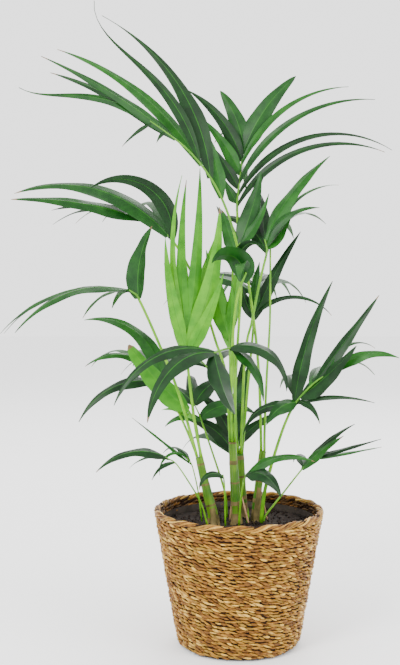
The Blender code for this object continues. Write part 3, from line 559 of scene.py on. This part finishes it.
def unit(vector):
    """The same direction with a length of one."""
    return vector / np.linalg.norm(vector)


def distances(route):
    """How far along the route each of its points lies, as a share of its length."""
    run = np.concatenate([[0.0], np.cumsum(np.linalg.norm(np.diff(route, axis=0), axis=1))])
    return run / run[-1]


def taper(route, foot, end):
    """Radii along the route, from foot to end."""
    return foot + (end - foot) * distances(route)


def carried_sides(tangents):
    """Two directions square to each tangent, turned as little as the route allows."""
    side = np.array([1.0, 0.0, 0.0])
    pairs = []
    for tangent in tangents:
        side = unit(side - tangent * (side @ tangent))
        pairs.append((side, np.cross(tangent, side)))
    return pairs


def oval(centre, wide, high, sides):
    """Points on an oval round the centre, from its two half axes."""
    turns = np.arange(sides) * math.tau / sides
    return [centre + wide * math.cos(a) + high * math.sin(a) for a in turns]


def limb_rings(route, radii, foot_way=None, top_way=None, sides=LIMB_SIDES):
    """Round sections along a route. An end is cut square to the limb, or to the way that is given."""
    tangents = [unit(t) for t in np.gradient(route, axis=0)]
    if foot_way is not None:
        tangents[0] = foot_way
    if top_way is not None:
        tangents[-1] = top_way
    rings = []
    for centre, radius, (side, other) in zip(route, radii, carried_sides(tangents)):
        rings.append(oval(centre, radius * side, radius * other, sides))
    return rings


def closed_form(rings, end=None):
    """Points and faces of a closed form through the rings. It ends at a point where one is given."""
    points = [p for ring in rings for p in ring]
    sides = len(rings[0])
    last = len(points) - sides
    faces = []
    for low in range(0, last, sides):
        for i in range(sides):
            j = (i + 1) % sides
            faces.append([low + i, low + j, low + sides + j, low + sides + i])
    faces.append(list(range(sides))[::-1])
    if end is None:
        return points, faces + [[last + i for i in range(sides)]]
    faces += [[last + i, last + (i + 1) % sides, last + sides] for i in range(sides)]
    return points + [end], faces


def ring_tree(rings, end=None):
    """A closed form to test others against."""
    return BVHTree.FromPolygons(*closed_form(rings, end))


def stem_line(stem, foot_height, spacing):
    """A stem's route, its radii, and each place's height over the foot."""
    foot = np.array([*stem.foot, foot_height])
    fork = np.array(stem.fork)
    middle = foot + (fork - foot) * STEM_MIDDLE
    flare_top = foot + (0.0, 0.0, STEM_FLARE_HEIGHT)
    route = smooth_route([foot, flare_top, middle, fork], spacing)
    radii = taper(route, stem.foot_radius, stem.fork_radius)
    height = route[:, 2] - foot[2]
    radii *= 1 + (STEM_FLARE - 1) * np.clip(1 - height / STEM_FLARE_HEIGHT, 0, 1)
    return route, radii, height


def frond_foot(frond):
    """Where the frond's petiole starts, just clear of the stem's fork or of the soil."""
    if frond.stem is None:
        return (*frond.petiole[0][:2], SOIL_TOP + GAP)
    stem = STEMS[frond.stem]
    x, y = polar(stem.ring, math.radians(frond.turn))
    return stem.fork[0] + x, stem.fork[1] + y, stem.fork[2] + GAP


def frond_line(frond):
    """One smooth curve as the routes of petiole and rib, and the way that it runs where they join."""
    rest = frond.petiole if frond.stem else frond.petiole[1:]
    whole = smooth_route([frond_foot(frond), *rest, *frond.rib], LIMB_SPACING)
    join = int(np.argmin(np.linalg.norm(whole - rest[-1], axis=1)))
    return whole[: join + 1], whole[join:], unit(whole[join + 1] - whole[join - 1])


def leaflet_of(fan, share):
    """The fan's leaflet at a share of the run from its first to its last, each pair made one value."""
    return Fan(*[v[0] + (v[1] - v[0]) * share if isinstance(v, tuple) else v for v in fan])


def outline(share, leaflet):
    """Half width of a leaflet at a share of its length."""
    half = leaflet.width / 2
    if share < WIDEST_AT:
        return half * (NECK_WIDTH + (1 - NECK_WIDTH) * math.sin(share / WIDEST_AT * math.pi / 2))
    return half * ((1 - share) / (1 - WIDEST_AT)) ** leaflet.tip


def way(heading, slope):
    """Unit vector of a heading and a slope in degrees."""
    a, b = math.radians(heading), math.radians(slope)
    return np.array([math.cos(b) * math.cos(a), math.cos(b) * math.sin(a), math.sin(b)])


def slope_at(t, leaflet):
    """The leaflet's slope in degrees at a share t of its length."""
    return leaflet.rise + (leaflet.fall - leaflet.rise) * t + leaflet.lift * t**TIP_LIFT_POWER


def along_leaflet(base, leaflet, face, steps):
    """Section by section: share of the length, place, way across and way out of the upper side.

    The leaflet is rolled about its own line, so that its upper side looks the frond's way.
    """
    side = way(leaflet.heading + 90, 0)
    normal = way(leaflet.heading, leaflet.rise + 90)
    looks = way(*face)
    roll = math.atan2(-looks @ side, looks @ normal) + math.radians(leaflet.roll)
    centre = np.array(base, float)
    for step in range(steps + 1):
        t = step / steps
        normal = way(leaflet.heading, slope_at(t, leaflet) + 90)
        across = math.cos(roll) * side + math.sin(roll) * normal
        out = math.cos(roll) * normal - math.sin(roll) * side
        yield t, centre, across, out
        slope = slope_at((step + 0.5) / steps, leaflet)
        centre = centre + way(leaflet.heading, slope) * leaflet.length / steps


def leaflet_rings(base, leaflet, face):
    """Diamond sections of a leaflet, with some room all round, and its tip."""
    thick = max(LEAST_THICKNESS, THICKNESS_SHARE * leaflet.length) / 2 + ROOM
    rings = []
    *sections, end = along_leaflet(base, leaflet, face, LEAFLET_STEPS)
    for t, centre, across, out in sections:
        half = outline(t, leaflet) + ROOM
        left, right = centre - across * half, centre + across * half
        rings.append([left, centre - out * thick, right, centre + out * thick])
    return rings, end[1]


def turned_aside(step):
    """0, then to one side and the other in growing steps."""
    return TURN_STEP * ((step + 1) // 2) * (-1 if step % 2 else 1)


def place_leaflets(frond, rib, others):
    """Solid, foot and values of each leaflet that finds a clear way, turned aside where it must be."""
    share_along = distances(rib)
    placed, own = [], []
    for fan in frond.fans:
        for index in range(fan.count):
            wanted = leaflet_of(fan, index / max(1, fan.count - 1))
            base = [np.interp(wanted.at, share_along, rib[:, axis]) for axis in range(3)]
            for step in range(MOST_TURNS):
                leaflet = wanted._replace(heading=wanted.heading + turned_aside(step))
                rings, tip = leaflet_rings(base, leaflet, frond.face)
                whole = ring_tree(rings, tip)
                blade = ring_tree(rings[FREE_NECK:], tip)
                if any(whole.overlap(tree) for tree in others):
                    continue
                if any(blade.overlap(tree) for tree in own):
                    continue
                own.append(blade)
                placed.append((whole, base, leaflet))
                break
    return placed


def spear_rings(spear):
    """A narrow blade that stands on the soil, cut flat at its foot."""
    foot = np.array([*spear.foot, SOIL_TOP + GAP])
    along = way(spear.heading, spear.rise)
    across = way(spear.heading + 90, 0) * spear.width / 2
    out = way(spear.heading, 0) * spear.thickness / 2
    rings = []
    for share, size in SPEAR_SECTIONS:
        centre = foot + along * spear.length * share
        rings.append([centre - across * size, centre - out, centre + across * size, centre + out])
    return rings, foot + along * spear.length


def make_paint(name):
    """A material whose colour drifts between two tones, with a fine bump."""
    colour, second, roughness, scale = PAINTS[name]
    material = bpy.data.materials.new(name)
    material.use_nodes = True
    nodes, links = material.node_tree.nodes, material.node_tree.links
    shader = nodes["Principled BSDF"]
    shader.inputs["Roughness"].default_value = roughness
    shader.inputs["Specular IOR Level"].default_value = SHEEN
    place = nodes.new("ShaderNodeTexCoord")
    cloud = nodes.new("ShaderNodeTexNoise")
    cloud.inputs["Scale"].default_value = scale
    cloud.inputs["Detail"].default_value = NOISE_DETAIL
    ramp = nodes.new("ShaderNodeValToRGB")
    first, last = ramp.color_ramp.elements
    first.position = NOISE_FROM
    last.position = NOISE_TO
    first.color = (*colour, 1.0)
    last.color = (*second, 1.0)
    bump = nodes.new("ShaderNodeBump")
    bump.inputs["Strength"].default_value = BUMP
    bump.inputs["Distance"].default_value = BUMP_HEIGHT
    links.new(place.outputs["Object"], cloud.inputs["Vector"])
    links.new(cloud.outputs["Fac"], ramp.inputs["Fac"])
    links.new(ramp.outputs["Color"], shader.inputs["Base Color"])
    links.new(cloud.outputs["Fac"], bump.inputs["Height"])
    links.new(bump.outputs["Normal"], shader.inputs["Normal"])
    return material


def add_object(name, data):
    """A new object in the scene."""
    thing = bpy.data.objects.new(name, data)
    bpy.context.scene.collection.objects.link(thing)
    return thing


class Pile:
    """Points and faces gathered for one piece, each face with the name of its paint."""

    def __init__(self):
        self.points = []
        self.faces = []
        self.paints = []

    def add(self, points, faces, paints):
        """Paints is one name for all the faces, or a list with one for each."""
        start = len(self.points)
        self.points += [tuple(p) for p in points]
        self.faces += [[start + i for i in face] for face in faces]
        self.paints += [paints] * len(faces) if isinstance(paints, str) else paints

    def add_rings(self, rings, paints):
        """A closed form through the rings. Its two ends are the last of its faces."""
        self.add(*closed_form(rings), paints)


def make_piece(name, pile, paint, nodes=(), crease=None):
    """The pile as one object that rides on the body and stands for the nodes."""
    used = sorted(set(pile.paints))
    mesh = bpy.data.meshes.new(name)
    mesh.from_pydata(pile.points, [], pile.faces)
    for key in used:
        mesh.materials.append(paint[key])
    mesh.polygons.foreach_set("material_index", [used.index(key) for key in pile.paints])
    bm = bmesh.new()
    bm.from_mesh(mesh)
    bmesh.ops.recalc_face_normals(bm, faces=bm.faces)
    bm.to_mesh(mesh)
    bm.free()
    mesh.shade_smooth()
    if crease:
        mesh.set_sharp_from_angle(angle=math.radians(crease))
    piece = add_object(name, mesh)
    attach(piece, "root")
    if nodes:
        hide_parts(*nodes)


def add_stem(pile, stem, draw):
    """A bundle of green canes ringed with old leaf scars, dry and brown at the foot."""
    route, radii, height = stem_line(stem, SOIL_TOP - STEM_DEPTH, STEM_SPACING)
    scars = (height % SCAR_SPACING) < SCAR_HEIGHT
    swell = np.where(scars, 1.0, 1 - SCAR_SWELL)
    offset = radii * (1 - CANE_SHARE) * CANE_HOLD
    pairs = carried_sides([unit(t) for t in np.gradient(route, axis=0)])
    for cane in range(CANES):
        turns = draw.uniform(0, CANE_START) + math.tau * cane / CANES + CANE_TWIST * distances(route)
        aside = [math.cos(a) * side + math.sin(a) * other for a, (side, other) in zip(turns, pairs)]
        line = route + np.array(aside) * offset[:, None]
        rings = limb_rings(line, radii * CANE_SHARE * swell, sides=FINE_SIDES)
        dry_to = draw.uniform(*DRY_FOOT)
        paints = []
        for row in range(len(rings) - 1):
            paints += ["stem_foot" if height[row] < dry_to or scars[row] else "stem"] * FINE_SIDES
        pile.add_rings(rings, paints + ["stem_foot", "stem"])


def add_limb(pile, route, foot_radius, end_radius, paint):
    """A finer limb along the route, tapering evenly from foot to end."""
    fine = smooth_route(route, FINE_SPACING)
    radii = np.interp(distances(fine), distances(route), taper(route, foot_radius, end_radius))
    pile.add_rings(limb_rings(fine, radii, sides=FINE_SIDES), paint)


def add_spear(pile, spear, paint, draw):
    """A narrow pointed blade, rounded across and a little crooked."""
    foot = np.array([*spear.foot, SOIL_TOP - SPEAR_DEPTH])
    along = way(spear.heading, spear.rise) * spear.length
    across = way(spear.heading + 90, 0)
    out = way(spear.heading, 0)
    bend = draw.uniform(-SPEAR_BEND, SPEAR_BEND) * spear.length
    rings = []
    for share in np.linspace(0, 1, SPEAR_STEPS + 1):
        swell = math.sin(math.pi * (SPEAR_START + (1 - SPEAR_START) * share))
        size = max(SPEAR_LEAST, swell**SPEAR_ROUND) / 2
        centre = foot + along * share + across * bend * share**2
        wide, thick = across * spear.width * size, out * spear.thickness * size
        rings.append(oval(centre, wide, thick, SPEAR_SIDES))
    pile.add_rings(rings, paint)


def leaflet_points(base, leaflet, face, phase):
    """Points of the upper and the lower skin, section by section."""
    top, low = [], []
    for t, centre, across, out in along_leaflet(base, leaflet, face, FINE_STEPS):
        half = max(LEAST_HALF_WIDTH, outline(min(t, LAST_SHARE), leaflet))
        wave = EDGE_WAVE * min(1.0, half / WAVE_FULL_FROM) * math.sin(phase + t * math.tau * WAVES)
        pleat = PLEAT_HEIGHT * min(1.0, half / PLEAT_FULL_FROM)
        for column, s in enumerate(SPREAD):
            midrib = MIDRIB_HEIGHT * (1 - t) if abs(s) < MIDRIB_REACH else 0.0
            rise = midrib + wave * s * abs(s) - FOLD * half * abs(s) ** FOLD_POWER
            rise += pleat if column % 2 == 0 else -pleat
            middle = centre + across * half * s + out * rise
            top.append(middle + out * SKIN)
            low.append(middle - out * (SKIN * (1.0 - SKIN_LOSS_AT_EDGE * abs(s)) + 2 * midrib))
    return top, low


def add_leaflet(pile, base, leaflet, looks, young, draw):
    """A leaflet as a thin skin round its midrib, folded, pleated and wavy along its edges."""
    upper = draw.choice(YOUNG_TONES if young else LEAF_TONES)
    under, midrib = ("young_under", "young_under") if young else ("leaf_under", "midrib")
    dry_from = draw.uniform(*DRY_FROM) if draw.random() < DRY_TIPS else NEVER
    top, low = leaflet_points(base, leaflet, looks, draw.uniform(0, math.tau))
    row, count = len(SPREAD), len(top)
    faces, paints = [], []
    for step in range(FINE_STEPS):
        worn = step / FINE_STEPS > dry_from
        left = step * row
        for column in range(row - 1):
            a = left + column
            face = [a, a + 1, a + row + 1, a + row]
            faces += [face, [count + i for i in reversed(face)]]
            shown = midrib if column == row // 2 - 1 else upper
            paints += ["dry", "dry"] if worn else [shown, under]
        right = left + row - 1
        faces.append([left, left + row, count + left + row, count + left])
        faces.append([count + right, count + right + row, right + row, right])
        paints += ["dry" if worn else upper] * 2
    for near in range(row - 1):
        far = near + FINE_STEPS * row
        faces.append([near + 1, near, count + near, count + near + 1])
        faces.append([far, far + 1, count + far + 1, count + far])
        paints += [upper, "dry" if dry_from < 1 else upper]
    pile.add(top + low, faces, paints)


def make_plant(paint):
    """Stems, sheaths, petioles and fronds, by the rule that makes the solids."""
    draw = random.Random(PLANT_SEED)
    obstacles = []
    stems, sheaths, petioles = Pile(), Pile(), Pile()
    leaves, young_leaves = Pile(), Pile()
    for name, stem in STEMS.items():
        route, radii, _ = stem_line(stem, SOIL_TOP + GAP, LIMB_SPACING)
        obstacles.append((name, ring_tree(limb_rings(route, radii, LEVEL_CUT, LEVEL_CUT))))
        add_stem(stems, stem, draw)
    for name, spear in SPEARS.items():
        obstacles.append((name, ring_tree(*spear_rings(spear))))
        if name == "shoot":
            add_spear(petioles, spear, "petiole", draw)
        else:
            add_spear(sheaths, spear, "sheath", draw)
    ribs = {}
    for name, frond in FRONDS.items():
        foot, neck, end = frond.radii
        petiole, rib, cut = frond_line(frond)
        add_limb(petioles, petiole, foot, neck, "petiole")
        add_limb(young_leaves if name in YOUNG_FRONDS else leaves, rib, neck, end, "rib")
        rib = np.vstack([rib[0] + cut * GAP, rib[1:]])
        petiole_rings = limb_rings(petiole, taper(petiole, foot, neck), LEVEL_CUT, cut)
        rib_rings = limb_rings(rib, taper(rib, neck, end), cut)
        obstacles.append(("petiole_" + name, ring_tree(petiole_rings)))
        obstacles.append(("rib_" + name, ring_tree(rib_rings)))
        ribs[name] = rib
    for name, frond in FRONDS.items():
        others = [tree for owner, tree in obstacles if owner != "rib_" + name]
        young = name in YOUNG_FRONDS
        target = young_leaves if young else leaves
        for whole, base, leaflet in place_leaflets(frond, ribs[name], others):
            obstacles.append(("leaflet", whole))
            add_leaflet(target, base, leaflet, frond.face, young, draw)
    sheath_nodes = [name for name in SPEARS if name != "shoot"]
    petiole_nodes = ["shoot"] + ["petiole_" + name for name in FRONDS]
    leaf_nodes = ["frond_" + name for name in FRONDS if name not in YOUNG_FRONDS]
    young_nodes = ["frond_" + name for name in YOUNG_FRONDS]
    make_piece("stems", stems, paint, list(STEMS))
    make_piece("sheaths", sheaths, paint, sheath_nodes)
    make_piece("petioles", petioles, paint, petiole_nodes)
    make_piece("leaves", leaves, paint, leaf_nodes, LEAF_CREASE)
    make_piece("young_leaves", young_leaves, paint, young_nodes, LEAF_CREASE)


def add_grain(pile, centre, along, out, length, width, radius, paint):
    """One strand's visible length in the weave: a slim lens that follows the wall round."""
    up = np.cross(out, along)
    rings = []
    for u in np.linspace(-1, 1, GRAIN_STEPS):
        size = max(GRAIN_END, 1 - abs(u) ** GRAIN_TAPER)
        sink = (u * length / 2) ** 2 / (2 * radius) + (1 - size) * GRAIN_DEPTH * GRAIN_TUCK
        middle = centre + along * u * length / 2 - out * sink
        rings.append(oval(middle, up * width / 2 * size, out * GRAIN_DEPTH / 2 * size, GRAIN_SIDES))
    pile.add_rings(rings, paint)


def add_row(pile, radius, height, row_height, inward, tones, draw, shift):
    """One woven row of slanted grains round the basket."""
    count = round(math.tau * radius / (GRAIN_LENGTH * GRAIN_SPACING))
    for index in range(count):
        turn = math.tau * (index + shift + draw.uniform(-STRAY_ALONG, STRAY_ALONG)) / count
        x, y = polar(1, turn)
        slant = math.radians(-GRAIN_SLANT + draw.uniform(-STRAY_SLANT, STRAY_SLANT))
        along = np.array([-y * math.cos(slant), x * math.cos(slant), math.sin(slant)])
        reach = radius + draw.uniform(*STRAY_OUT)
        spot = Vector((x * ROW_WAVE_ROUND, y * ROW_WAVE_ROUND, height * ROW_WAVE_UP))
        up = height + ROW_WAVE * noise.noise(spot) + draw.uniform(-STRAY_UP, STRAY_UP)
        place = np.array([x * reach, y * reach, up])
        out = np.array([x, y, 0.0]) * (-1 if inward else 1)
        length = GRAIN_LENGTH * draw.uniform(*STRAY_LENGTH)
        width = row_height * GRAIN_FULLNESS * draw.uniform(*STRAY_WIDTH)
        curve = -radius if inward else radius
        add_grain(pile, place, along, out, length, width, curve, draw.choice(tones))


def make_core():
    """The wall behind the weave, turned from the edge of its underside to the floor inside, painted dark
    all over as the shade seen between the grains.
    """
    edge = wall_radius(EDGE_ROUND) - EDGE_ROUND - CORE_INSET
    top = BASKET_HEIGHT - RIM_ROLL_RADIUS
    inner = BASKET_WALL - CORE_INNER_GAP
    rounding = [EDGE_ROUND * way(0, slope) for slope in np.linspace(-90, 0, EDGE_STEPS + 1)]
    profile = [(edge + reach, EDGE_ROUND + rise) for reach, _, rise in rounding]
    profile += [(wall_radius(h) - CORE_INSET, h) for h in (*CORE_LEVELS, top)]
    profile += [(wall_radius(h) - inner, h) for h in (top, LINER_TOP, CORE_INNER_LEVEL, BASKET_WALL)]
    core = Pile()
    across, along, up = np.eye(3)
    # The whole core is painted shade, the dark seen between the grains
    core.add_rings([oval(up * h, across * r, along * r, CORE_SIDES) for r, h in profile], "gaps")
    return core


def hoop(turns, radius, height):
    """Places round the basket's middle, one for each turn."""
    return np.stack([radius * np.cos(turns), radius * np.sin(turns), height + 0 * turns], axis=1)


def make_rim():
    """Loosely wound strands, waving up and down a little, round a bed painted dark as the shade between
    them.
    """
    rim = Pile()
    roll = RIM_ROLL_RADIUS * RIM_SLIMMER
    top = BASKET_HEIGHT - roll
    centre = wall_radius(top) - roll + RIM_OVERHANG
    turns = np.arange(RIM_STEPS + 1) * math.tau / RIM_STEPS
    height = top + RIM_WAVE * (np.sin(turns * RIM_WAVES) - 1)
    spots = [polar(RIM_LOOSENESS, a) for a in turns]
    for strand, tone in enumerate(RIM_TONES):
        coil = turns * RIM_TWISTS + strand * math.tau / len(RIM_TONES)
        loose = np.array([noise.noise(Vector((*spot, strand * RIM_STRAND_APART))) for spot in spots])
        reach = roll * (RIM_COIL[0] + RIM_COIL[1] * loose)
        thick = roll * (RIM_STRAND_RADIUS[0] + RIM_STRAND_RADIUS[1] * loose)
        route = hoop(turns, centre + reach * np.cos(coil), height + reach * np.sin(coil))
        rim.add_rings(limb_rings(route, thick, sides=FINE_SIDES), tone)
    # The bed is painted shade, the dark seen between the strands
    route = hoop(turns[::2], centre, top - RIM_WAVE)
    thick = np.full(len(route), RIM_ROLL_RADIUS * RIM_BED)
    rim.add_rings(limb_rings(route, thick, sides=FINE_SIDES), "gaps")
    return rim


def make_basket(paint):
    """Woven rows over a wall painted dark as the shade between them, with a twisted rim and a few darker
    rows inside, their straw darkened as painted shade.
    """
    draw = random.Random(WEAVE_SEED)
    low, high, inner = Pile(), Pile(), Pile()
    row_height = (ROW_TOP - ROW_FOOT) / ROWS
    for row in range(ROWS):
        height = ROW_FOOT + row_height * (row + 0.5)
        radius = wall_radius(height) - GRAIN_DEPTH * ROW_SINK
        if height < EDGE_ROUND:
            drop = EDGE_ROUND - height
            radius -= EDGE_ROUND - math.sqrt(EDGE_ROUND**2 - drop**2)
        pile = low if row < ROWS // 2 else high
        add_row(pile, radius, height, row_height, False, STRAW_TONES, draw, (row % 2) / 2)
    # Rows inside, in straw darkened as painted shade
    for row in range(INNER_ROWS):
        height = BASKET_HEIGHT - RIM_ROLL_RADIUS - INNER_ROW_HEIGHT * row
        radius = wall_radius(height) - BASKET_WALL - INNER_REACH
        add_row(inner, radius, height, INNER_ROW_HEIGHT, True, INNER_TONES, draw, (row % 2) / 2)
    make_piece("basket_wall", make_core(), paint, ["basket"])
    make_piece("basket_weave_low", low, paint)
    make_piece("basket_weave_high", high, paint)
    make_piece("basket_weave_inside", inner, paint)
    make_piece("basket_rim", make_rim(), paint)


def soil_height(x, y):
    """Height of the soil's lumpy surface at a place."""
    lump = 0.0
    for scale, share, layer in LUMPS:
        lump += share * noise.noise(Vector((x * scale, y * scale, layer)))
    return SOIL_TOP - SOIL_DROP + SOIL_LUMPS * lump


def add_soil(pile, reach):
    """A lumpy disc of rings round its middle, with a skirt below and a flat underside."""
    turns = [math.tau * turn / SOIL_TURNS for turn in range(SOIL_TURNS)]
    points = [(0.0, 0.0, SOIL_TOP)]
    for ring in range(1, SOIL_RINGS + 1):
        radius = reach * ring / SOIL_RINGS
        for a in turns:
            x, y = polar(radius, a)
            points.append((x, y, soil_height(x, y)))
    points += [(*polar(reach * SKIRT_REACH, a), SOIL_TOP - SKIRT_DEPTH) for a in turns]
    faces = []
    for turn in range(SOIL_TURNS):
        a, b = 1 + turn, 1 + (turn + 1) % SOIL_TURNS
        faces.append([0, a, b])
        for ring in range(SOIL_RINGS):
            inner, outer = ring * SOIL_TURNS, (ring + 1) * SOIL_TURNS
            faces.append([a + inner, a + outer, b + outer, b + inner])
    skirt = 1 + SOIL_RINGS * SOIL_TURNS
    faces.append([skirt + turn for turn in range(SOIL_TURNS)][::-1])
    pile.add(points, faces, "soil")


def make_soil(paint):
    """Lumpy soil inside the liner, with loose crumbs on it."""
    draw = random.Random(SOIL_SEED)
    pile = Pile()
    reach = wall_radius(SOIL_TOP) - BASKET_WALL - LINER_WALL - 4 * GAP
    add_soil(pile, reach)
    crumb = [(a, b, 4) for a, b in CRUMB_BELT] + [(b, a, 5) for a, b in CRUMB_BELT]
    for _ in range(CRUMBS):
        angle, radius = draw.uniform(0, math.tau), reach * CRUMB_REACH * math.sqrt(draw.random())
        size = draw.uniform(*CRUMB_SIZE)
        centre = np.array([*polar(radius, angle), SOIL_TOP + size * CRUMB_LIFT])
        corners = [centre + size * draw.uniform(*CRUMB_CUT) * corner for corner in CRUMB_CORNERS]
        pile.add(corners, crumb, "soil")
    make_piece("soil_surface", pile, paint, ["soil"])


def make_floor():
    """A wide pale floor."""
    floor = bpy.data.meshes.new("floor")
    corners = [(x * FLOOR_REACH, y * FLOOR_REACH, 0) for x, y in ((-1, -1), (1, -1), (1, 1), (-1, 1))]
    floor.from_pydata(corners, [], [(0, 1, 2, 3)])
    material = bpy.data.materials.new("floor")
    material.use_nodes = True
    shader = material.node_tree.nodes["Principled BSDF"]
    shader.inputs["Base Color"].default_value = FLOOR_COLOUR
    shader.inputs["Roughness"].default_value = FLOOR_ROUGHNESS
    floor.materials.append(material)
    stage = add_object("floor", floor)


def add_light(name, place, target, size, watts):
    """A square soft lamp that points at the target."""
    lamp = bpy.data.lights.new(name, "AREA")
    lamp.shape = "SQUARE"
    lamp.size = size
    lamp.energy = watts
    light = add_object(name, lamp)
    light.location = place
    light.rotation_euler = (Vector(target) - Vector(place)).to_track_quat("-Z", "Y").to_euler()


def make_studio():
    """Pale surroundings, three soft lights and the photograph's camera."""
    make_floor()
    world = bpy.data.worlds.new("studio")
    world.use_nodes = True
    sky = world.node_tree.nodes["Background"]
    sky.inputs["Color"].default_value = (1.0, 1.0, 1.0, 1.0)
    sky.inputs["Strength"].default_value = WORLD_STRENGTH
    bpy.context.scene.world = world
    for name, settings in LAMPS.items():
        add_light(name, *settings)
    lens = bpy.data.cameras.new("camera")
    lens.sensor_width = SENSOR
    lens.lens = FOCAL_PIXELS / IMAGE_HEIGHT * SENSOR
    camera = add_object("camera", lens)
    camera.location = CAMERA_AT
    camera.rotation_euler = (math.radians(90 - CAMERA_TILT), 0, 0)
    bpy.context.scene.camera = camera


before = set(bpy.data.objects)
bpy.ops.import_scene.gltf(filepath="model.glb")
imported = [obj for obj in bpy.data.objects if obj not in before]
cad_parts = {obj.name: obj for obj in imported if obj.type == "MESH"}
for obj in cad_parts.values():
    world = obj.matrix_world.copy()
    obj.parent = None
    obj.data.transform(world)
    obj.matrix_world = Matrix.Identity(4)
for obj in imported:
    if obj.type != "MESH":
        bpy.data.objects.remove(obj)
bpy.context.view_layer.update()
paint = {name: make_paint(name) for name in PAINTS}
make_plant(paint)
make_basket(paint)
make_soil(paint)
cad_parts["liner"].material_slots[0].material = paint["liner"]
make_studio()
